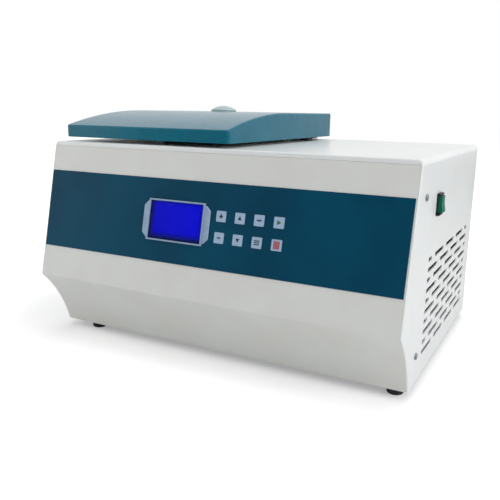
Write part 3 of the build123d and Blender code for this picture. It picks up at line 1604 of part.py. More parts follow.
# Rubber feet, slightly tapered, with a recess for their screws
foot_places = [
    (x, y)
    for x in (-half_width + foot_from_left, half_width - foot_from_right)
    for y in (front_y + foot_from_front, rear_y - foot_from_rear)
]
with BuildPart() as feet:
    with BuildSketch(Plane.XY):
        with Locations(*foot_places):
            Circle(foot_radius)
    extrude(amount=foot_height)
    chamfer(feet.edges().group_by(Axis.Z)[0], length=foot_chamfer)
    with BuildSketch(Plane.XY):
        with Locations(*foot_places):
            Circle(screw_head_radius)
    extrude(amount=foot_recess_depth, mode=Mode.SUBTRACT)
feet.part.label = "feet"
export_step(feet.part, "parts/feet.step")

with BuildPart() as side_screws:
    for side in (-1, 1):
        with BuildSketch(Plane.YZ.offset(side * half_width)):
            with Locations(*side_screw_places):
                Circle(screw_head_radius)
        extrude(amount=side * screw_head_height)
        with BuildSketch(Plane.YZ.offset(side * half_width)):
            with Locations(*side_screw_places):
                Circle(screw_radius)
        extrude(amount=-side * screw_length)
    heads = side_screws.edges().filter_by(
        lambda edge: abs(edge.center().X) > half_width + screw_head_height / 2
    )
    fillet(heads, radius=screw_head_round)
side_screws.part.label = "side_screws"
export_step(side_screws.part, "parts/side_screws.step")

with BuildPart() as rear_screws:
    with BuildSketch(Plane.XZ.offset(-rear_y)):
        with Locations(*rear_screw_places):
            Circle(screw_head_radius)
    extrude(amount=-screw_head_height)
    fillet(rear_screws.edges().group_by(Axis.Y)[-1], radius=screw_head_round)
    with BuildSketch(Plane.XZ.offset(-rear_y)):
        with Locations(*rear_screw_places):
            Circle(screw_radius)
    extrude(amount=screw_length)
rear_screws.part.label = "rear_screws"
export_step(rear_screws.part, "parts/rear_screws.step")
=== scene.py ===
# %% [markdown]
# # A bench-top refrigerated centrifuge
# The solids of the machine come in as a fixed frame: every sheet, key, hinge and rotor is already
# in its place, in metres. They could be modelled again in Blender, but they are exact and their
# joints already work. So this lesson only gives them their real finishes, adds the small pieces
# that are too fine for the solids, and sets up the camera and the light.

import math

import bmesh
import bpy
from mathutils import Matrix, Vector


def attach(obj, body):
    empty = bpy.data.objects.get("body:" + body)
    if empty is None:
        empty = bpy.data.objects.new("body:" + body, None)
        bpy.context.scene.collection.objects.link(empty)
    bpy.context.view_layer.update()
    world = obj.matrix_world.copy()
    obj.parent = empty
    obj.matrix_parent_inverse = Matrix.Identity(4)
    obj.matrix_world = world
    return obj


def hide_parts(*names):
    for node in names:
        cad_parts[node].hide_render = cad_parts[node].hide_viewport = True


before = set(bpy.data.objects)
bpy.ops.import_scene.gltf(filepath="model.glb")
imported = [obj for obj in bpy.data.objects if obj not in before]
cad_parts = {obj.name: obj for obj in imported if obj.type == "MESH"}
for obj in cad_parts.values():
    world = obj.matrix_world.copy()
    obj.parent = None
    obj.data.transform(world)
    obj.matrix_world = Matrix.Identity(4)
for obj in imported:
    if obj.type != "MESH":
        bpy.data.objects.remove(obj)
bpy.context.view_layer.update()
MM = 0.001

# %% [markdown]
# ## The camera
# The photograph was taken a little to the right of the machine and a little above it. The lens,
# the turn, the height and the slight roll were worked out from the cabinet's own corners, so the
# picture can be set beside the photograph. A camera could be turned by three angles and nudged
# until it looks right, but a matrix says the same in one step: a camera looks down its own -Z, so
# the matrix has three columns, right, up and back.

# %% Place the camera
TURN = math.radians(27.82)
HEIGHT = math.radians(12.78)
ROLL = math.radians(1.01)
FOCAL_PIXELS = 617.96
PICTURE_PIXELS = 500
CAMERA_PLACE = (0.4815, -0.9814, 0.3884)

away = math.cos(HEIGHT)
back = Vector((math.sin(TURN) * away, -math.cos(TURN) * away, math.sin(HEIGHT)))
level_right = Vector((math.cos(TURN), math.sin(TURN), 0))
level_up = back.cross(level_right)
right = level_right * math.cos(ROLL) + level_up * math.sin(ROLL)
up = level_up * math.cos(ROLL) - level_right * math.sin(ROLL)

camera_data = bpy.data.cameras.new("photograph_camera")
camera_data.sensor_width = 36.0
camera_data.lens = camera_data.sensor_width * FOCAL_PIXELS / PICTURE_PIXELS
camera_data.clip_end = 20.0
camera = bpy.data.objects.new("photograph_camera", camera_data)
bpy.context.scene.collection.objects.link(camera)
turned_axes = Matrix((right, up, back)).transposed().to_4x4()
camera.matrix_world = Matrix.Translation(Vector(CAMERA_PLACE)) @ turned_axes
bpy.context.scene.camera = camera
bpy.context.scene.view_settings.view_transform = "Standard"
print("lens", round(camera_data.lens, 2), "mm")

# %% [markdown]
# ## Nodes and colours
# Paint makers and designers give colours as sRGB hex, but a shader works with light. Colours
# could be typed in as linear numbers, but nobody can picture those, so one function turns hex to
# linear. One more adds a node to a material or to the world, with its settings and its links, so
# that a whole pattern reads as a few lines. Everything on this machine has its place in metres,
# so a texture that reads object coordinates is scaled from a real size.

# %% Helpers for colours and nodes
def linear(hex_colour):
    """Turns an sRGB hex colour into linear values by the standard's curve, and adds an alpha."""
    channels = [int(hex_colour[i : i + 2], 16) / 255 for i in (1, 3, 5)]
    return [c / 12.92 if c <= 0.04045 else ((c + 0.055) / 1.055) ** 2.4 for c in channels] + [1.0]


def add_node(owner, kind, settings=None, links=None):
    """Adds a node, sets its properties and sockets, and links other nodes' outputs into it."""
    node = owner.node_tree.nodes.new(kind)
    for name, value in (settings or {}).items():
        if isinstance(name, str) and hasattr(node, name):
            setattr(node, name, value)
        else:
            node.inputs[name].default_value = value
    for name, output in (links or {}).items():
        owner.node_tree.links.new(output, node.inputs[name])
    return node


print("white is", [round(c, 3) for c in linear("#ffffff")])


# %% Helpers that start a material
def new_material(name, **sockets):
    """Makes a material whose shader starts from the given socket values."""
    material = bpy.data.materials.new(name)
    material.use_nodes = True
    shader = material.node_tree.nodes["Principled BSDF"]
    for socket, value in sockets.items():
        shader.inputs[socket.replace("_", " ")].default_value = value
    return material


def link(material, output, socket):
    """Links an output to one of the shader's sockets."""
    shader = material.node_tree.nodes["Principled BSDF"]
    material.node_tree.links.new(output, shader.inputs[socket])


print("materials so far", len(bpy.data.materials))

# %% [markdown]
# ## Three small patterns
# Nearly every finish here is a plain colour that is not quite even, a fine grain, and a gloss
# that wanders a little. A painted image could hold all three, but it would blur close up. Noise
# has no pixels, and its size is set in millimetres, so one function makes each: the grain as a
# bump, the colour as a soft blend of two tones, and the gloss as a drift of roughness.

# %% Put a material on the solids
def finish_nodes(material, *names):
    """Puts one material in every slot of the named solids."""
    for name in names:
        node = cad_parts[name]
        for slot in node.material_slots:
            slot.material = material
    print(material.name, "on", ", ".join(names))


print("solids to finish", len(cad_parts))


# %% Fine grain
def grain(material, size_mm, height_mm, stretch=(1, 1, 1)):
    """Gives the shader a bump of the grain's real size, stretched along an axis where brushed."""
    spot = add_node(material, "ShaderNodeTexCoord").outputs["Object"]
    stretched = add_node(material, "ShaderNodeMapping", {"Scale": stretch}, {"Vector": spot})
    pattern = add_node(
        material,
        "ShaderNodeTexNoise",
        {"Scale": 1 / (size_mm * MM), "Detail": 2.0},
        {"Vector": stretched.outputs["Vector"]},
    )
    relief = add_node(
        material,
        "ShaderNodeBump",
        {"Distance": height_mm * MM},
        {"Height": pattern.outputs["Fac"]},
    )
    link(material, relief.outputs["Normal"], "Normal")


print("a grain of a millimetre has a noise scale of", round(1 / MM))


# %% Uneven colour
def two_tone(material, light, dark, size_mm, low=0.35, high=0.65):
    """Lets the colour drift softly between two tones over patches of a real size."""
    patches = add_node(
        material,
        "ShaderNodeTexNoise",
        {"Scale": 1 / (size_mm * MM), "Detail": 3.0},
        {"Vector": add_node(material, "ShaderNodeTexCoord").outputs["Object"]},
    )
    ramp = add_node(material, "ShaderNodeValToRGB", links={"Fac": patches.outputs["Fac"]})
    ramp.color_ramp.elements[0].position = low
    ramp.color_ramp.elements[0].color = linear(dark)
    ramp.color_ramp.elements[1].position = high
    ramp.color_ramp.elements[1].color = linear(light)
    link(material, ramp.outputs["Color"], "Base Color")


print("white paint is", [round(c, 3) for c in linear("#e9ecec")], "in linear light")


# %% Uneven gloss
def rough_drift(material, low, high, size_mm):
    """Lets the roughness drift between two values, as handling and polishing leave it."""
    patches = add_node(
        material,
        "ShaderNodeTexNoise",
        {"Scale": 1 / (size_mm * MM), "Detail": 4.0},
        {"Vector": add_node(material, "ShaderNodeTexCoord").outputs["Object"]},
    )
    span = add_node(
        material,
        "ShaderNodeMapRange",
        {"To Min": low, "To Max": high},
        {"Value": patches.outputs["Fac"]},
    )
    link(material, span.outputs["Result"], "Roughness")


print("patterns", [pattern.__name__ for pattern in (grain, two_tone, rough_drift)])

# %% [markdown]
# ## Powder coat
# The cabinet is folded sheet steel with a baked polyester powder coat. Powder flows out into a
# faint orange peel of about a millimetre, which softens reflections without hiding them. Real
# dents in the mesh would need millions of faces, so a bump stands for them, 1.2 mm wide and one
# or two hundredths of a millimetre high. The coat is an ordinary dielectric with an IOR of 1.5,
# glossy enough for the top to mirror the lid's side at a low angle. The front has the same white
# paint, but its colour is made a shade greyer as painted shade, since the front gets less light
# than the sides and top; it is also a little less glossy.

# %% White powder coat
white_coat = new_material("powder_coat_white", IOR=1.5, Specular_IOR_Level=0.5)
two_tone(white_coat, "#e9ecec", "#e6e9e9", size_mm=60)
grain(white_coat, size_mm=1.2, height_mm=0.012)
rough_drift(white_coat, low=0.26, high=0.34, size_mm=25)
finish_nodes(white_coat, "cabinet_cover", "rear_panel")

# The front's greyer tone is painted shade on the same white paint as the cover.
shaded_white_coat = new_material("powder_coat_white_painted_shade", IOR=1.5, Specular_IOR_Level=0.35)
two_tone(shaded_white_coat, "#e1e3e0", "#dedfdb", size_mm=60)
grain(shaded_white_coat, size_mm=1.2, height_mm=0.02)
rough_drift(shaded_white_coat, low=0.38, high=0.46, size_mm=25)
finish_nodes(shaded_white_coat, "front_panel")

# %% [markdown]
# ## Lid lacquer
# The lid is a moulding sprayed in a teal lacquer with a satin clear coat. The clear layer is what
# turns the lid's crown pale where it is seen at a low angle. Two shaders could be mixed for the
# two layers, but this shader has a coat of its own: it is smoother than the colour under it, and
# its weight is low because a satin coat is thin.

# %% Teal lacquer
teal_lacquer = new_material(
    "satin_teal_lacquer",
    IOR=1.5,
    Specular_IOR_Level=0.1,
    Coat_Weight=0.3,
    Coat_Roughness=0.14,
)
two_tone(teal_lacquer, "#066b82", "#05647a", size_mm=45)
grain(teal_lacquer, size_mm=2.0, height_mm=0.006)
rough_drift(teal_lacquer, low=0.24, high=0.32, size_mm=30)
finish_nodes(teal_lacquer, "lid_shell")

# %% [markdown]
# ## Control overlay
# The overlay is a polyester film printed on its back and textured on its face. The print lies
# under the film, so the colour is even, and the texture gives a soft sheen. That could be built
# as a clear sheet over a coloured one, but at a camera's distance one layer with a low specular
# level and a polyester's IOR of 1.57 looks the same. The real texture is finer than a tenth of a
# millimetre, so it is drawn coarser, half a millimetre wide.

# %% Printed polyester film
teal_film = new_material("printed_polyester_film", IOR=1.57, Specular_IOR_Level=0.08)
two_tone(teal_film, "#004862", "#003e57", size_mm=120)
grain(teal_film, size_mm=0.5, height_mm=0.008)
rough_drift(teal_film, low=0.36, high=0.44, size_mm=20)
finish_nodes(teal_film, "control_overlay")

# %% [markdown]
# ## Small plastics
# The display's frame is sprayed silver, the keys are pale mouldings with a fine spark-eroded
# grain, and the switch frame is black nylon. The silver is a paint with metal flakes, so it is
# part metal and part plastic. Moulded grain is about a tenth of a millimetre, far below a pixel
# here, so it is drawn a little coarser.

# %% Sprayed silver frame
silver_plastic = new_material(
    "silver_sprayed_abs",
    Metallic=0.25,
    Roughness=0.4,
    IOR=1.5,
    Specular_IOR_Level=0.2,
)
two_tone(silver_plastic, "#9db3cc", "#93a9c3", size_mm=12)
grain(silver_plastic, size_mm=0.4, height_mm=0.01)
finish_nodes(silver_plastic, "display_bezel")

# %% Pale keys
key_plastic = new_material("pale_moulded_key", Roughness=0.45, IOR=1.5, Specular_IOR_Level=0.2)
two_tone(key_plastic, "#a6c0da", "#9db8d3", size_mm=8)
grain(key_plastic, size_mm=0.6, height_mm=0.015)
KEYS = [
    "key_increase",
    "key_cursor_up",
    "key_select",
    "key_start",
    "key_decrease",
    "key_cursor_down",
    "key_set",
    "key_stop",
]
finish_nodes(key_plastic, *KEYS)

# %% Black nylon
black_nylon = new_material("black_moulded_nylon", Roughness=0.5, IOR=1.53, Specular_IOR_Level=0.2)
two_tone(black_nylon, "#1b1c1e", "#141517", size_mm=10)
grain(black_nylon, size_mm=0.6, height_mm=0.02)
finish_nodes(black_nylon, "switch_housing", "power_inlet", "latch_body", "fan_blades")

# %% [markdown]
# ## Green rocker
# A lit rocker is a translucent green moulding. Glass-like transmission would show its hollow
# inside, but real light enters it, spreads and comes out nearby, so the shader gets a little
# subsurface scattering over a few millimetres, deepest in the green.

# %% Translucent green rocker
green_rocker = new_material(
    "translucent_green_polycarbonate",
    Roughness=0.45,
    IOR=1.58,
    Specular_IOR_Level=0.1,
    Subsurface_Weight=0.15,
    Subsurface_Scale=0.003,
    Subsurface_Radius=(0.3, 1.0, 0.6),
)
two_tone(green_rocker, "#0f6c57", "#0b604c", size_mm=6)
grain(green_rocker, size_mm=0.8, height_mm=0.01)
finish_nodes(green_rocker, "power_rocker")

# %% [markdown]
# ## Rubber
# The seal, the lid bumpers and the feet are black rubber: dark, rough and faintly dusty. One dark
# grey could do, but it looks like a hole in the picture. Two tones and a coarse grain break its
# reflections up as dust does.

# %% Moulded rubber
black_rubber = new_material("moulded_black_rubber", Roughness=0.72, IOR=1.52)
two_tone(black_rubber, "#26272a", "#191a1c", size_mm=9)
grain(black_rubber, size_mm=0.9, height_mm=0.04)
finish_nodes(black_rubber, "chamber_seal", "lid_bumpers", "feet")
finish_nodes(black_rubber, "motor_dampers", "compressor_grommets")

# %% [markdown]
# ## Metals
# Bare metals keep the default IOR and take their look from colour, roughness and how they were
# worked. The bowl is spun and brushed round its axis, and the rotor is turned on a lathe and
# anodised. Both carry fine rings, which a straight texture can't follow, so the pattern is noise
# along one line: the distance from the axis plus the height. That changes across a flat face and
# up a wall alike. A real tool moves on by a few tenths of a millimetre a turn, too fine for this
# picture, so the rings are drawn about a millimetre apart.

# %% Rings round the rotor's axis
SPIN_AXIS = (-0.134, 0.067, 0.0)


def turning_marks(material, pitch_mm, height_mm):
    """Rings left by a tool that went round the rotor's axis."""
    spot = add_node(material, "ShaderNodeTexCoord").outputs["Object"]
    centred = add_node(
        material, "ShaderNodeVectorMath", {"operation": "SUBTRACT", 1: SPIN_AXIS}, {0: spot}
    ).outputs["Vector"]
    flat = add_node(
        material, "ShaderNodeVectorMath", {"operation": "MULTIPLY", 1: (1, 1, 0)}, {0: centred}
    ).outputs["Vector"]
    radius = add_node(material, "ShaderNodeVectorMath", {"operation": "LENGTH"}, {0: flat})
    height = add_node(material, "ShaderNodeSeparateXYZ", links={"Vector": centred})
    along = add_node(
        material,
        "ShaderNodeMath",
        {"operation": "ADD"},
        {0: radius.outputs["Value"], 1: height.outputs["Z"]},
    )
    ring = add_node(
        material,
        "ShaderNodeTexNoise",
        {"noise_dimensions": "1D", "Scale": 1 / (pitch_mm * MM), "Detail": 3.0},
        {"W": along.outputs["Value"]},
    )
    relief = add_node(
        material, "ShaderNodeBump", {"Distance": height_mm * MM}, {"Height": ring.outputs["Fac"]}
    )
    link(material, relief.outputs["Normal"], "Normal")


print("the rings go round", SPIN_AXIS[:2])

# %% Turned rotor and spun bowl
turned_aluminium = new_material("turned_anodised_aluminium", Metallic=1.0, Roughness=0.32)
two_tone(turned_aluminium, "#c9ccd0", "#bfc2c7", size_mm=30)
turning_marks(turned_aluminium, pitch_mm=0.9, height_mm=0.02)
finish_nodes(turned_aluminium, "rotor")

spun_steel = new_material("spun_stainless_steel", Metallic=1.0, Roughness=0.3)
two_tone(spun_steel, "#c8c9ca", "#bbbcbe", size_mm=40)
turning_marks(spun_steel, pitch_mm=1.2, height_mm=0.03)
finish_nodes(spun_steel, "chamber_bowl", "evaporator_jacket")

# %% [markdown]
# ## Hinges, screws and sheets
# The hinge leaves are brushed along their length, so their grain is stretched 25 times along X.
# The striker is plated dark, the screws are passivated and dull, and pins and shafts are ground
# bright. The sheets inside are zinc plated, which dries in soft patches, and the motor's parts
# are cast aluminium with a coarse skin. One steel for all would be quicker, but each treatment
# reflects in its own way, and each is only the same patterns with other sizes and colours. Lines
# left by brushing and grinding are finer than a tenth of a millimetre, so they are drawn coarser.

# %% Brushed leaves and the plated striker
brushed_steel = new_material("brushed_stainless_steel", Metallic=1.0, Roughness=0.34)
two_tone(brushed_steel, "#c4c5c7", "#b5b6b9", size_mm=14)
grain(brushed_steel, size_mm=0.5, height_mm=0.012, stretch=(0.04, 1, 1))
finish_nodes(brushed_steel, "hinge_base_leaves", "hinge_lid_leaves")

dark_plating = new_material("dark_zinc_nickel_plating", Metallic=1.0, Roughness=0.42)
two_tone(dark_plating, "#4d5a60", "#414d53", size_mm=8)
grain(dark_plating, size_mm=0.6, height_mm=0.015)
finish_nodes(dark_plating, "lid_striker")

# %% Screws, pins and shafts
passivated_steel = new_material("passivated_steel_screw", Metallic=1.0, Roughness=0.3)
two_tone(passivated_steel, "#8e9296", "#7d8185", size_mm=4)
grain(passivated_steel, size_mm=0.4, height_mm=0.01)
finish_nodes(passivated_steel, "side_screws", "rear_screws", "hinge_lid_screws")

bright_steel = new_material("ground_bright_steel", Metallic=1.0, Roughness=0.24)
two_tone(bright_steel, "#cfd0d3", "#bdbec2", size_mm=6)
grain(bright_steel, size_mm=0.4, height_mm=0.008)
finish_nodes(
    bright_steel,
    "hinge_pins",
    "rotor_nut",
    "drive_shaft",
    "motor_bearings",
    "latch_bolt",
)

# %% Zinc sheet and cast aluminium
zinc_sheet = new_material("zinc_plated_sheet", Metallic=1.0, Roughness=0.45)
two_tone(zinc_sheet, "#aeb3b8", "#8f959b", size_mm=18, low=0.3, high=0.7)
grain(zinc_sheet, size_mm=3.0, height_mm=0.02)
finish_nodes(zinc_sheet, "base_pan", "chamber_supports", "partition", "fan_shroud")

cast_aluminium = new_material("cast_aluminium", Metallic=1.0, Roughness=0.55)
two_tone(cast_aluminium, "#a2a5a8", "#8e9194", size_mm=7)
grain(cast_aluminium, size_mm=1.6, height_mm=0.08)
finish_nodes(cast_aluminium, "motor_housing", "motor_plate", "inverter")

# %% [markdown]
# ## Inside the warm side
# The condenser is coloured near black as painted shade, so that the vents look dark, and the
# compressor has black enamel. Copper lines join them. The boards are green and the stator is
# varnished. Little of this shows; what can be seen through a slot is the real part, with the
# condenser's near black standing for the shade inside the cabinet.

# %% Black enamel, painted vent shade and copper
# Near black: real enamel on the compressor and fan motor, painted shade in the vents on the
# condenser.
black_enamel_and_vent_shade = new_material(
    "black_enamel_and_painted_vent_shade",
    Roughness=0.55,
    IOR=1.5,
    Specular_IOR_Level=0.1,
)
two_tone(black_enamel_and_vent_shade, "#0c0d0e", "#070708", size_mm=15)
grain(black_enamel_and_vent_shade, size_mm=1.5, height_mm=0.03)
finish_nodes(black_enamel_and_vent_shade, "condenser", "compressor", "fan_motor")

copper = new_material("drawn_copper", Metallic=1.0, Roughness=0.3)
two_tone(copper, "#c88062", "#a8654a", size_mm=12)
grain(copper, size_mm=0.8, height_mm=0.01)
finish_nodes(copper, "refrigerant_lines")

# %% Boards and windings
board_green = new_material("green_solder_mask", Roughness=0.35, IOR=1.5)
two_tone(board_green, "#1d6b3c", "#14552f", size_mm=5)
grain(board_green, size_mm=1.0, height_mm=0.03)
finish_nodes(board_green, "key_board", "control_board")

varnished_iron = new_material("varnished_laminations", Roughness=0.5, IOR=1.5)
two_tone(varnished_iron, "#5b4a3c", "#43362c", size_mm=4)
grain(varnished_iron, size_mm=0.7, height_mm=0.05, stretch=(0.2, 0.2, 1))
finish_nodes(varnished_iron, "motor_stator", "motor_armature")

# %% [markdown]
# ## Chamber plastics and foam
# The lid's liner is a light grey vacuum-formed sheet, and rigid foam fills the lid and surrounds
# the bowl. Foam has cells of a millimetre or two: they are drawn as a bump, as the foam only
# shows at a cut.

# %% Liner and foam
liner_plastic = new_material("vacuum_formed_abs", Roughness=0.48, IOR=1.5)
two_tone(liner_plastic, "#d8dbdb", "#cdd1d1", size_mm=30)
grain(liner_plastic, size_mm=1.0, height_mm=0.02)
finish_nodes(liner_plastic, "lid_liner")

rigid_foam = new_material("rigid_polyurethane_foam", Roughness=0.85, IOR=1.4)
two_tone(rigid_foam, "#dccb9a", "#c9b580", size_mm=9)
grain(rigid_foam, size_mm=2.5, height_mm=0.3)
finish_nodes(rigid_foam, "lid_insulation", "chamber_insulation")

# %% [markdown]
# ## The viewing port
# The port's cap is a frosted grey-green moulding, and the window at the tube's foot is clear
# acrylic with an IOR of 1.49. The display's window has an anti-reflection coat. The shader's thin
# film could give such a coat its faint rainbow, but what counts here is that the pane hardly
# mirrors the room, so its reflection is tinted dark, which takes most of it away at every angle.

# %% Port cap and windows
frosted_cap = new_material(
    "frosted_grey_green_cap",
    Roughness=0.35,
    IOR=1.49,
    Subsurface_Weight=0.3,
    Subsurface_Scale=0.004,
)
two_tone(frosted_cap, "#b7c9c8", "#adc0bf", size_mm=14)
grain(frosted_cap, size_mm=1.0, height_mm=0.01)
finish_nodes(frosted_cap, "sight_cap")

clear_acrylic = new_material("clear_acrylic", Roughness=0.05, IOR=1.49, Transmission_Weight=1.0)
grain(clear_acrylic, size_mm=25.0, height_mm=0.01)
finish_nodes(clear_acrylic, "sight_window")

coated_acrylic = new_material(
    "anti_reflection_acrylic",
    Roughness=0.03,
    IOR=1.49,
    Transmission_Weight=1.0,
    Specular_IOR_Level=0.05,
    Specular_Tint=(0.1, 0.1, 0.1, 1.0),
)
grain(coated_acrylic, size_mm=25.0, height_mm=0.005)
finish_nodes(coated_acrylic, "display_lens")

# %% [markdown]
# ## The display
# A blue liquid crystal panel lights itself from a lamp behind its middle, so its edges fall off
# to a dark border, widest at the left and below. That could be a painted image, but four ramps do
# it with no picture: each measures a point's distance along the slope or across it, and their
# product is the light. Fine dots show that it is a screen. Real ones are about 0.2 mm apart, far
# below a pixel here, so they are drawn coarser, at 1.1 mm. First come the slope's own directions,
# since the panel leans back.

# %% The control front's own directions
SLOPE_FOOT = Vector((0, -0.245, 0.109))
SLOPE_SETBACK = 0.049
SLOPE_RISE = 0.223
SLOPE_UP = Vector((0, SLOPE_SETBACK, SLOPE_RISE)).normalized()
SLOPE_OUT = Vector((0, -SLOPE_RISE, SLOPE_SETBACK)).normalized()
SLOPE_LENGTH = math.hypot(SLOPE_SETBACK, SLOPE_RISE) / MM


def on_slope(across, up_slope, out=0.0):
    """A point of the control front, in millimetres across it, up its slope and out from it."""
    return SLOPE_FOOT + (Vector((across, 0, 0)) + up_slope * SLOPE_UP + out * SLOPE_OUT) * MM


print("top of the slope", [round(v, 3) for v in on_slope(0, SLOPE_LENGTH)])

# %% Distances on the display
lit_panel = new_material("lit_blue_crystal_panel", Roughness=0.3, IOR=1.5, Specular_IOR_Level=0.0)
spot = add_node(lit_panel, "ShaderNodeTexCoord").outputs["Object"]
from_foot = add_node(
    lit_panel, "ShaderNodeVectorMath", {"operation": "SUBTRACT", 1: SLOPE_FOOT}, {0: spot}
)
rise = add_node(
    lit_panel,
    "ShaderNodeVectorMath",
    {"operation": "DOT_PRODUCT", 1: SLOPE_UP},
    {0: from_foot.outputs["Vector"]},
).outputs["Value"]
across = add_node(lit_panel, "ShaderNodeSeparateXYZ", links={"Vector": spot}).outputs["X"]
lean = math.degrees(math.atan2(SLOPE_SETBACK, SLOPE_RISE))
print("the slope leans back", round(lean, 1), "degrees")

# %% The lamp's light, which fades to each edge
RAMPS_ACROSS = ((-94.5, -83.5), (5.0, -9.0))
RAMPS_UP = ((88.0, 99.0), (146.0, 140.0))

times = {"operation": "MULTIPLY"}
light = None
for distance, limits in ((across, RAMPS_ACROSS), (rise, RAMPS_UP)):
    for dark_mm, light_mm in limits:
        span = {"From Min": dark_mm * MM, "From Max": light_mm * MM}
        fade = add_node(lit_panel, "ShaderNodeMapRange", span, {"Value": distance})
        if light is None:
            light = fade.outputs["Result"]
        else:
            factors = {0: light, 1: fade.outputs["Result"]}
            light = add_node(lit_panel, "ShaderNodeMath", times, factors).outputs["Value"]
print("ramps", len(RAMPS_ACROSS) + len(RAMPS_UP))

# %% A short mark near the top edge
MARK_ACROSS = (-66.0, -58.0)
MARK_UP = (138.4, 139.8)

within = {}
for socket, distance, (low_mm, high_mm) in ((0, across, MARK_ACROSS), (1, rise, MARK_UP)):
    middle, half = (low_mm + high_mm) / 2 * MM, (high_mm - low_mm) / 2 * MM
    compare = {"operation": "COMPARE", 1: middle, 2: half}
    compared = add_node(lit_panel, "ShaderNodeMath", compare, {0: distance})
    within[socket] = compared.outputs["Value"]
mark = add_node(lit_panel, "ShaderNodeMath", times, within).outputs["Value"]
print("the mark is", MARK_ACROSS[1] - MARK_ACROSS[0], "mm long")

# %% The display's colours
DOT_PITCH = 1.1
EVEN_FROM, EVEN_TO = -90.0, -10.0
GLOW = 1.15
# Several sockets of a mix node share a name, so these four are picked by number.
SHARE, FIRST, SECOND, MIXED = 0, 6, 7, 2

fine = {"Scale": 1 / (DOT_PITCH * MM), "Detail": 0.0}
dots = add_node(lit_panel, "ShaderNodeTexNoise", fine, {"Vector": spot})
even_span = {"From Min": EVEN_FROM * MM, "From Max": EVEN_TO * MM}
evenness = add_node(lit_panel, "ShaderNodeMapRange", even_span, {"Value": across})
blue = add_node(
    lit_panel,
    "ShaderNodeMix",
    {"data_type": "RGBA", FIRST: linear("#0404b6"), SECOND: linear("#0204ca")},
    {SHARE: dots.outputs["Fac"]},
)
for share, tone in ((evenness.outputs["Result"], "#0206d2"), (mark, "#3038da")):
    links = {SHARE: share, FIRST: blue.outputs[MIXED]}
    tinted = {"data_type": "RGBA", SECOND: linear(tone)}
    blue = add_node(lit_panel, "ShaderNodeMix", tinted, links)
bordered = add_node(
    lit_panel,
    "ShaderNodeMix",
    {"data_type": "RGBA", FIRST: linear("#021040")},
    {SHARE: light, SECOND: blue.outputs[MIXED]},
)
link(lit_panel, bordered.outputs[MIXED], "Emission Color")
panel_shader = lit_panel.node_tree.nodes["Principled BSDF"]
panel_shader.inputs["Emission Strength"].default_value = GLOW
panel_shader.inputs["Base Color"].default_value = linear("#020418")
finish_nodes(lit_panel, "display_panel")

# %% [markdown]
# ## Marks on the keys
# The keys carry plain symbols, printed as a thin layer of ink. A mask in the key's material could
# draw them, but a printed layer has an edge that can be seen close up. So each is a flat outline
# laid on its key's face, a few hundredths of a millimetre thick, and it rides on the key.

# %% Inks
dark_ink = new_material("dark_screen_ink", Roughness=0.5, IOR=1.5)
two_tone(dark_ink, "#20262e", "#181d24", size_mm=3)
green_ink = new_material("green_screen_ink", Roughness=0.5, IOR=1.5)
two_tone(green_ink, "#3a6a3c", "#305f34", size_mm=3)
red_ink = new_material("red_screen_ink", Roughness=0.5, IOR=1.5)
two_tone(red_ink, "#b0606c", "#a65662", size_mm=3)
pale_green_ink = new_material(
    "pale_green_screen_ink",
    Roughness=0.5,
    IOR=1.5,
    Specular_IOR_Level=0.1,
)
two_tone(pale_green_ink, "#4f9a86", "#48917e", size_mm=3)
print("inks", [ink.name for ink in (dark_ink, green_ink, red_ink, pale_green_ink)])

# %% Lay a flat shape on a surface
INK = 0.06


def laid_shapes(name, outlines, to_place, material, body):
    """Turns flat outlines into one thin piece, placed by a function of across, up and out."""
    form = bmesh.new()
    for outline in outlines:
        face = form.faces.new([form.verts.new((x, y, 0.0)) for x, y in outline])
        raised = bmesh.ops.extrude_face_region(form, geom=[face])
        for vertex in [item for item in raised["geom"] if isinstance(item, bmesh.types.BMVert)]:
            vertex.co.z = INK
    for vertex in form.verts:
        vertex.co = to_place(vertex.co.x, vertex.co.y, vertex.co.z)
    bmesh.ops.recalc_face_normals(form, faces=form.faces)
    mesh = bpy.data.meshes.new(name)
    form.to_mesh(mesh)
    form.free()
    mesh.materials.append(material)
    piece = bpy.data.objects.new(name, mesh)
    bpy.context.scene.collection.objects.link(piece)
    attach(piece, body)


print("ink is", INK, "mm thick")


# %% A bar for the symbols
def bar(x, y, wide, tall):
    """A rectangle's four corners."""
    return [
        (x - wide / 2, y - tall / 2),
        (x + wide / 2, y - tall / 2),
        (x + wide / 2, y + tall / 2),
        (x - wide / 2, y + tall / 2),
    ]


print("a bar has", len(bar(0, 0, wide=1, tall=1)), "corners")

# %% Outlines of the key symbols
ARM, THIN = 3.2, 1.1
HALF_FOOT, FOOT, TIP = 3.2, 2.6, 3.4
PLAY_BACK = 2.8
LINES_APART, LINE_WIDE, LINE_TALL = 2.7, 8.6, 1.5

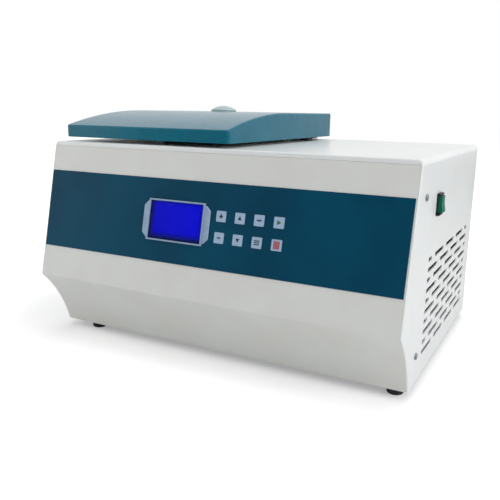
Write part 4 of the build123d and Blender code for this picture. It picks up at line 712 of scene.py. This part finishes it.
plus = [
    (-THIN, -ARM),
    (THIN, -ARM),
    (THIN, -THIN),
    (ARM, -THIN),
    (ARM, THIN),
    (THIN, THIN),
    (THIN, ARM),
    (-THIN, ARM),
    (-THIN, THIN),
    (-ARM, THIN),
    (-ARM, -THIN),
    (-THIN, -THIN),
]
arrow_up = [(-HALF_FOOT, -FOOT), (HALF_FOOT, -FOOT), (0, TIP)]
arrow_down = [(-HALF_FOOT, FOOT), (0, -TIP), (HALF_FOOT, FOOT)]
play = [(-PLAY_BACK, -TIP), (TIP, 0), (-PLAY_BACK, TIP)]
lines = [bar(0, up_key, LINE_WIDE, LINE_TALL) for up_key in (LINES_APART, 0, -LINES_APART)]
symbols = {
    "key_increase": (dark_ink, [plus]),
    "key_cursor_up": (dark_ink, [arrow_up]),
    "key_select": (dark_ink, [bar(0, 0, wide=7.4, tall=2.2)]),
    "key_start": (green_ink, [play]),
    "key_decrease": (dark_ink, [bar(0, 0, wide=5.6, tall=2.2)]),
    "key_cursor_down": (dark_ink, [arrow_down]),
    "key_set": (dark_ink, lines),
    "key_stop": (red_ink, [bar(0, 0, wide=9.6, tall=11.0)]),
}
print(len(symbols), "symbols drawn")

# %% Lay the symbols on the keys
KEYS_IN_ROW = 4
KEY_FIRST_X, KEY_PITCH_X = 30.5, 31.0
KEY_MIDDLE_UP, KEY_PITCH_UP = 114.7, 31.5
KEY_FACE = 1.3

for number, key in enumerate(KEYS):
    key_x = KEY_FIRST_X + KEY_PITCH_X * (number % KEYS_IN_ROW)
    key_up = KEY_MIDDLE_UP + (0.5 - number // KEYS_IN_ROW) * KEY_PITCH_UP
    ink, outlines = symbols[key]

    def on_key(x, y, out, key_x=key_x, key_up=key_up):
        """A point of this key's face, in millimetres from its middle."""
        return on_slope(key_x + x, key_up + y, KEY_FACE + out)

    laid_shapes(f"{key}_mark", outlines, on_key, ink, key)
print(len(KEYS), "key marks laid")

# %% [markdown]
# ## Marks on the rocker and the rotor
# The rocker carries the usual ring and bar, and the rotor's places are numbered so that tubes can
# be balanced. Both could be engraved with a boolean, but print is thinner than any cut, so they
# are laid on as ink. The rocker's face is a shallow hollow, so its outlines are bent to follow
# it, and the ring is made of short pieces that can bend. The numbers come from Blender's own
# font, turned to mesh and bent onto the rotor's cone.

# %% The rocker's hollow face
PIVOT = Vector((308.0, -85.5, 262.6))
REST = math.radians(5.0)
ROCKER_UP = Vector((-math.sin(REST), 0, math.cos(REST)))
ROCKER_OUT = Vector((math.cos(REST), 0, math.sin(REST)))
ROCKER_HOLLOW = 9.2
HOLLOW_DEPTH, HALF_FACE = 0.8, 11.7


def on_rocker(across, up_face, out):
    """A point of the rocker's hollow face, in millimetres from its middle."""
    height = ROCKER_HOLLOW + HOLLOW_DEPTH / HALF_FACE * abs(up_face) + out
    return (PIVOT + Vector((0, across, 0)) + up_face * ROCKER_UP + height * ROCKER_OUT) * MM


print("the rocker rests at", round(math.degrees(REST), 1), "degrees")

# %% Ring and bar on the rocker
RING_STEPS = 24
RING_INNER, RING_OUTER = 1.5, 2.2
FROM_MIDDLE = 6.0
BAR_WIDE, BAR_TALL = 0.8, 4.4

ring = []
for step in range(RING_STEPS):
    first, second = (2 * math.pi * (step + end) / RING_STEPS for end in (0, 1))
    piece_of_ring = []
    for radius, angle in (
        (RING_INNER, first),
        (RING_OUTER, first),
        (RING_OUTER, second),
        (RING_INNER, second),
    ):
        corner = (radius * math.cos(angle), FROM_MIDDLE + radius * math.sin(angle))
        piece_of_ring.append(corner)
    ring.append(piece_of_ring)
upright = bar(0, -FROM_MIDDLE, BAR_WIDE, BAR_TALL)
laid_shapes("rocker_ring", ring, on_rocker, pale_green_ink, "rocker")
laid_shapes("rocker_bar", [upright], on_rocker, pale_green_ink, "rocker")
print("ring of", len(ring), "pieces and a bar")

# %% The rotor's cone
CONE_LOW = Vector((88.0, 256.0))
CONE_HIGH = Vector((64.0, 297.0))
CONE_UP = (CONE_HIGH - CONE_LOW).normalized()
CONE_OUT = Vector((CONE_UP.y, -CONE_UP.x))


def on_cone(aside, along, out, turn):
    """A point of the rotor's cone, in millimetres from the middle of its slope, at a turn."""
    radius, height = (CONE_LOW + CONE_HIGH) / 2 + along * CONE_UP + out * CONE_OUT
    angle = turn + aside / radius
    x = SPIN_AXIS[0] + radius * math.cos(angle) * MM
    y = SPIN_AXIS[1] + radius * math.sin(angle) * MM
    return (x, y, height * MM)


print("the cone's middle", [round(v, 4) for v in on_cone(0, 0, 0, 0)])

# %% Numbers on the rotor
NUMBER_SIZE = 9.0
PLACES = 6

for number in range(PLACES):
    curve = bpy.data.curves.new(f"rotor_number_{number + 1}", "FONT")
    curve.body = str(number + 1)
    curve.size = NUMBER_SIZE
    curve.align_x = "CENTER"
    curve.align_y = "CENTER"
    curve.extrude = INK / 2
    source = bpy.data.objects.new("number_source", curve)
    bpy.context.scene.collection.objects.link(source)
    evaluated = source.evaluated_get(bpy.context.evaluated_depsgraph_get())
    mesh = bpy.data.meshes.new_from_object(evaluated)
    bpy.data.objects.remove(source)
    turn = math.radians(360 / PLACES * number)
    for vertex in mesh.vertices:
        aside, along, out = vertex.co
        vertex.co = on_cone(aside, along, out + INK / 2, turn)
    mesh.materials.clear()
    mesh.materials.append(dark_ink)
    piece = bpy.data.objects.new(f"rotor_number_{number + 1}", mesh)
    bpy.context.scene.collection.objects.link(piece)
    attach(piece, "rotor")
print(PLACES, "numbers on the rotor")

# %% [markdown]
# ## Screw heads
# A pan-head screw has a domed head with a cross recess. A bump could fake the cross, but the
# recess is what catches the light. So the head is turned from a profile and the recess is cut
# with a boolean, then each screw is placed where its plain solid stands, which it replaces.

# %% Turn a profile round an axis
SEGMENTS = 32


def turned(form, profile, centre, direction):
    """Adds to a bmesh the surface that a profile of radius and height makes round an axis."""
    spin = Vector((0, 0, 1)).rotation_difference(Vector(direction)).to_matrix()
    rings = []
    for radius, height in profile:
        ring = []
        for step in range(SEGMENTS):
            angle = 2 * math.pi * step / SEGMENTS
            point = Vector((radius * math.cos(angle), radius * math.sin(angle), height)) * MM
            ring.append(form.verts.new(Vector(centre) + spin @ point))
        rings.append(ring)
    for low, high in zip(rings, rings[1:]):
        for step in range(SEGMENTS):
            following = (step + 1) % SEGMENTS
            form.faces.new((low[step], low[following], high[following], high[step]))
    form.faces.new(list(reversed(rings[0])))
    form.faces.new(rings[-1])


print("a turned shape has", SEGMENTS, "sides")

# %% Make a piece of it
SMOOTH_BELOW = math.radians(35)


def piece_of(name, form, material):
    """Turns a bmesh into a piece, smooth except across sharp edges."""
    bmesh.ops.recalc_face_normals(form, faces=form.faces)
    mesh = bpy.data.meshes.new(name)
    form.to_mesh(mesh)
    form.free()
    mesh.materials.append(material)
    mesh.shade_smooth()
    mesh.set_sharp_from_angle(angle=SMOOTH_BELOW)
    piece = bpy.data.objects.new(name, mesh)
    bpy.context.scene.collection.objects.link(piece)
    return piece


print("edges under", round(math.degrees(SMOOTH_BELOW)), "degrees are smooth")


# %% The profile of a pan head
def pan_head(radius, height):
    """The profile of a pan head: a short wall, then a dome that flattens towards the middle."""
    return [
        (radius * 0.97, 0.0),
        (radius, height * 0.12),
        (radius, height * 0.35),
        (radius * 0.94, height * 0.66),
        (radius * 0.78, height * 0.88),
        (radius * 0.5, height * 0.985),
        (radius * 0.2, height),
    ]


print("the profile has", len(pan_head(1, 1)), "points")

# %% Pan-head screws with cross recesses
ARM_SHARE, SLOT_SHARE = 1.15, 0.28


def screws(name, places, body, stands_for, radius, height):
    """Pan-head screws, each at a place and facing a direction, with a cross cut into its head."""
    heads = bmesh.new()
    cutters = bmesh.new()
    arm, slot = radius * ARM_SHARE, radius * SLOT_SHARE
    for centre, direction in places:
        spin = Vector((0, 0, 1)).rotation_difference(Vector(direction)).to_matrix().to_4x4()
        turned(heads, pan_head(radius, height), centre, direction)
        for wide, deep in ((arm, slot), (slot, arm)):
            cut = Matrix.Diagonal((wide * MM, deep * MM, height * MM, 1))
            lift = Matrix.Translation((0, 0, height * MM))
            stand = Matrix.Translation(centre) @ spin @ lift @ cut
            bmesh.ops.create_cube(cutters, size=1.0, matrix=stand)
    piece = piece_of(name, heads, passivated_steel)
    cutter = piece_of(f"{name}_cutter", cutters, passivated_steel)
    cutting = piece.modifiers.new("recess", "BOOLEAN")
    cutting.object = cutter
    cutting.solver = "EXACT"
    cutting.use_self = True
    shaped = piece.evaluated_get(bpy.context.evaluated_depsgraph_get())
    piece.data = bpy.data.meshes.new_from_object(shaped)
    piece.modifiers.clear()
    bpy.data.objects.remove(cutter)
    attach(piece, body)
    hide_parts(stands_for)
    print(name, len(places), "screws")


print("the cross is", SLOT_SHARE, "of a head's radius wide")

# %% Places of the screws
HALF_WIDTH = 0.310
SIDE_SCREWS_YZ = ((-0.167, 0.281), (-0.157, 0.057))
REAR = 0.245
REAR_SCREWS_X = 0.2937
REAR_SCREWS_Z = (0.052, 0.1725, 0.304)
LEAF_APART, LEAF_SCREWS_APART = 0.095, 0.0198
LEAF_SCREWS_Y, LEAF_SCREWS_Z = 0.2313, 0.362
BACKWARD = (0, 1, 0)
SIDES = (-1, 1)

side_places = []
rear_places = []
leaf_places = []
for side in SIDES:
    for y, z in SIDE_SCREWS_YZ:
        side_places.append(((side * HALF_WIDTH, y, z), (side, 0, 0)))
    for z in REAR_SCREWS_Z:
        rear_places.append(((side * REAR_SCREWS_X, REAR, z), BACKWARD))
    for spread in SIDES:
        leaf_x = SPIN_AXIS[0] + side * LEAF_APART + spread * LEAF_SCREWS_APART
        leaf_places.append(((leaf_x, LEAF_SCREWS_Y, LEAF_SCREWS_Z), BACKWARD))
print("places", len(side_places + rear_places + leaf_places))

# %% Put the screws in their places
CABINET_HEAD = {"radius": 5.0, "height": 2.8}
HINGE_HEAD = {"radius": 4.0, "height": 2.0}

screws("side_panel_screws", side_places, "cabinet", "side_screws", **CABINET_HEAD)
screws("rear_panel_screws", rear_places, "cabinet", "rear_screws", **CABINET_HEAD)
screws("hinge_leaf_screws", leaf_places, "lid", "hinge_lid_screws", **HINGE_HEAD)

# %% [markdown]
# ## Pins of the mains inlet
# The inlet's flat pins are nickel-plated brass. They are part of the black moulding's solid, so
# they can't take a metal of their own there. Each gets a slim skin of metal, drawn just proud of
# the plain pin.

# %% Nickel-plated pins
nickel = new_material("nickel_plated_brass", Metallic=1.0, Roughness=0.22)
two_tone(nickel, "#cfcbc1", "#c0bbb0", size_mm=3)
grain(nickel, size_mm=0.5, height_mm=0.01)

PIN_SKIN = 0.06
PINS_XZ = ((200.0, 70.0), (193.0, 66.0), (207.0, 66.0))
PIN_WIDE, PIN_TALL = 2.0, 4.0
PIN_ROOT_Y, PIN_TIP_Y = 228.0, 241.0

skin_size = (PIN_WIDE + 2 * PIN_SKIN, PIN_TIP_Y + PIN_SKIN - PIN_ROOT_Y, PIN_TALL + 2 * PIN_SKIN)
pins = bmesh.new()
for x, z in PINS_XZ:
    middle = Vector((x, (PIN_ROOT_Y + PIN_TIP_Y + PIN_SKIN) / 2, z)) * MM
    stretch = Matrix.Diagonal([length * MM for length in skin_size] + [1.0])
    bmesh.ops.create_cube(pins, size=1.0, matrix=Matrix.Translation(middle) @ stretch)
inlet_pins = piece_of("inlet_pins", pins, nickel)
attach(inlet_pins, "cabinet")
print(len(PINS_XZ), "inlet pins")

# %% [markdown]
# ## A white room
# The photograph has a plain white setting and soft light that is strongest from the right and
# above. A plain white world would look right behind the machine, but it would light every side
# alike and wash the shading out. So this world is white only for the camera and in reflections,
# and lights the machine at less than a third of that. The room in front of the machine is dim in
# reflections, as it is behind a real photographer, so the dark finishes on the front keep their
# depth.

# %% World that looks white but lights gently
AMBIENT = 0.3
FRONT_REFLECTION = 0.25
DIM_AT, WHITE_AT = -0.75, -0.3

world = bpy.data.worlds.new("studio_world")
bpy.context.scene.world = world
world.use_nodes = True
sky = world.node_tree.nodes["Background"]
sky.inputs["Color"].default_value = (1, 1, 1, 1)
rays = add_node(world, "ShaderNodeLightPath")
direction = add_node(world, "ShaderNodeTexCoord").outputs["Generated"]
towards = add_node(world, "ShaderNodeSeparateXYZ", links={"Vector": direction})
mirrored = add_node(
    world,
    "ShaderNodeMapRange",
    {"From Min": DIM_AT, "From Max": WHITE_AT, "To Min": FRONT_REFLECTION, "To Max": 1.0},
    {"Value": towards.outputs["Y"]},
)
print("world strength", AMBIENT, "and", FRONT_REFLECTION, "to 1 in reflections")

# %% White for the camera, in mirrors and through glass
largest = {"operation": "MAXIMUM"}
by_camera = rays.outputs["Is Camera Ray"]
brightness = {0: by_camera, 1: mirrored.outputs["Result"]}
shown = add_node(world, "ShaderNodeMath", largest, brightness).outputs["Value"]
seen = by_camera
for kind in ("Is Glossy Ray", "Is Transmission Ray"):
    either = {0: seen, 1: rays.outputs[kind]}
    seen = add_node(world, "ShaderNodeMath", largest, either).outputs["Value"]
levels = {"Value": seen, "To Max": shown}
level = add_node(world, "ShaderNodeMapRange", {"To Min": AMBIENT}, levels)
world.node_tree.links.new(level.outputs["Result"], sky.inputs["Strength"])
print("world nodes", len(world.node_tree.nodes))

# %% [markdown]
# ## Soft lamps
# A studio lights a shiny machine with soft boxes, large bright squares whose shadows have soft
# edges. A small lamp or a sun would draw hard shadows, and a picture of a studio would need a
# file of its own. Area lamps are the soft boxes here. The right one and the top one are strong
# and the two others faint, as the photograph's light comes from the right and above.

# %% Four area lamps
def soft_lamp(name, place_m, aim_m, size_m, watts):
    """A square area lamp that faces a point."""
    data = bpy.data.lights.new(name, "AREA")
    data.shape = "SQUARE"
    data.size = size_m
    data.energy = watts
    lamp = bpy.data.objects.new(name, data)
    bpy.context.scene.collection.objects.link(lamp)
    lamp.location = place_m
    lamp.rotation_euler = (Vector(aim_m) - Vector(place_m)).to_track_quat("-Z", "Y").to_euler()


MIDDLE = (0.0, 0.0, 0.18)
FRONT_LEFT = (-0.2, -0.2, 0.15)
soft_lamp("right_lamp", (2.2, -0.7, 1.3), MIDDLE, size_m=1.6, watts=27.0)
soft_lamp("top_lamp", (0.3, 0.2, 2.4), MIDDLE, size_m=2.2, watts=24.0)
soft_lamp("front_lamp", (-1.8, -2.0, 1.2), MIDDLE, size_m=1.8, watts=3.0)
soft_lamp("left_lamp", (-1.6, -0.9, 0.5), FRONT_LEFT, size_m=1.4, watts=8.0)

# %% [markdown]
# ## A floor that fades to white
# The machine stands on white paper, and its shadow has to stay. A floor that only caught shadows
# would need compositing. This one is real paper with a glow that only the camera sees: faint near
# the machine, where the shadow lies, and full further out, where the paper meets the white world
# with no edge.

# %% Pale floor
FLOOR_HALF = 6.0
low, high = -FLOOR_HALF, FLOOR_HALF
floor_corners = [(low, low, 0), (high, low, 0), (high, high, 0), (low, high, 0)]
floor_mesh = bpy.data.meshes.new("floor")
floor_mesh.from_pydata(floor_corners, [], [(0, 1, 2, 3)])
floor = bpy.data.objects.new("floor", floor_mesh)
bpy.context.scene.collection.objects.link(floor)
print("floor", 2 * FLOOR_HALF, "m across")

# %% Paper that glows for the camera
GLOW_NEAR, GLOW_FAR = 0.3, 1.0
NEAR_M, FAR_M = 0.45, 0.95
floor_paint = new_material("white_paper_floor", Roughness=0.9, Specular_IOR_Level=0.0)
paper_shader = floor_paint.node_tree.nodes["Principled BSDF"]
paper_shader.inputs["Base Color"].default_value = linear("#f7f7f7")
paper_shader.inputs["Emission Color"].default_value = (1, 1, 1, 1)
seen_floor = add_node(floor_paint, "ShaderNodeLightPath")
floor_spot = add_node(floor_paint, "ShaderNodeTexCoord").outputs["Object"]
length = {"operation": "LENGTH"}
from_middle = add_node(floor_paint, "ShaderNodeVectorMath", length, {0: floor_spot})
fade = add_node(
    floor_paint,
    "ShaderNodeMapRange",
    {"From Min": NEAR_M, "From Max": FAR_M, "To Min": GLOW_NEAR, "To Max": GLOW_FAR},
    {"Value": from_middle.outputs["Value"]},
)
factors = {0: seen_floor.outputs["Is Camera Ray"], 1: fade.outputs["Result"]}
glow = add_node(floor_paint, "ShaderNodeMath", times, factors)
link(floor_paint, glow.outputs["Value"], "Emission Strength")
floor_mesh.materials.append(floor_paint)
print("the paper glows from", GLOW_NEAR, "at", NEAR_M, "m to", GLOW_FAR, "at", FAR_M, "m")
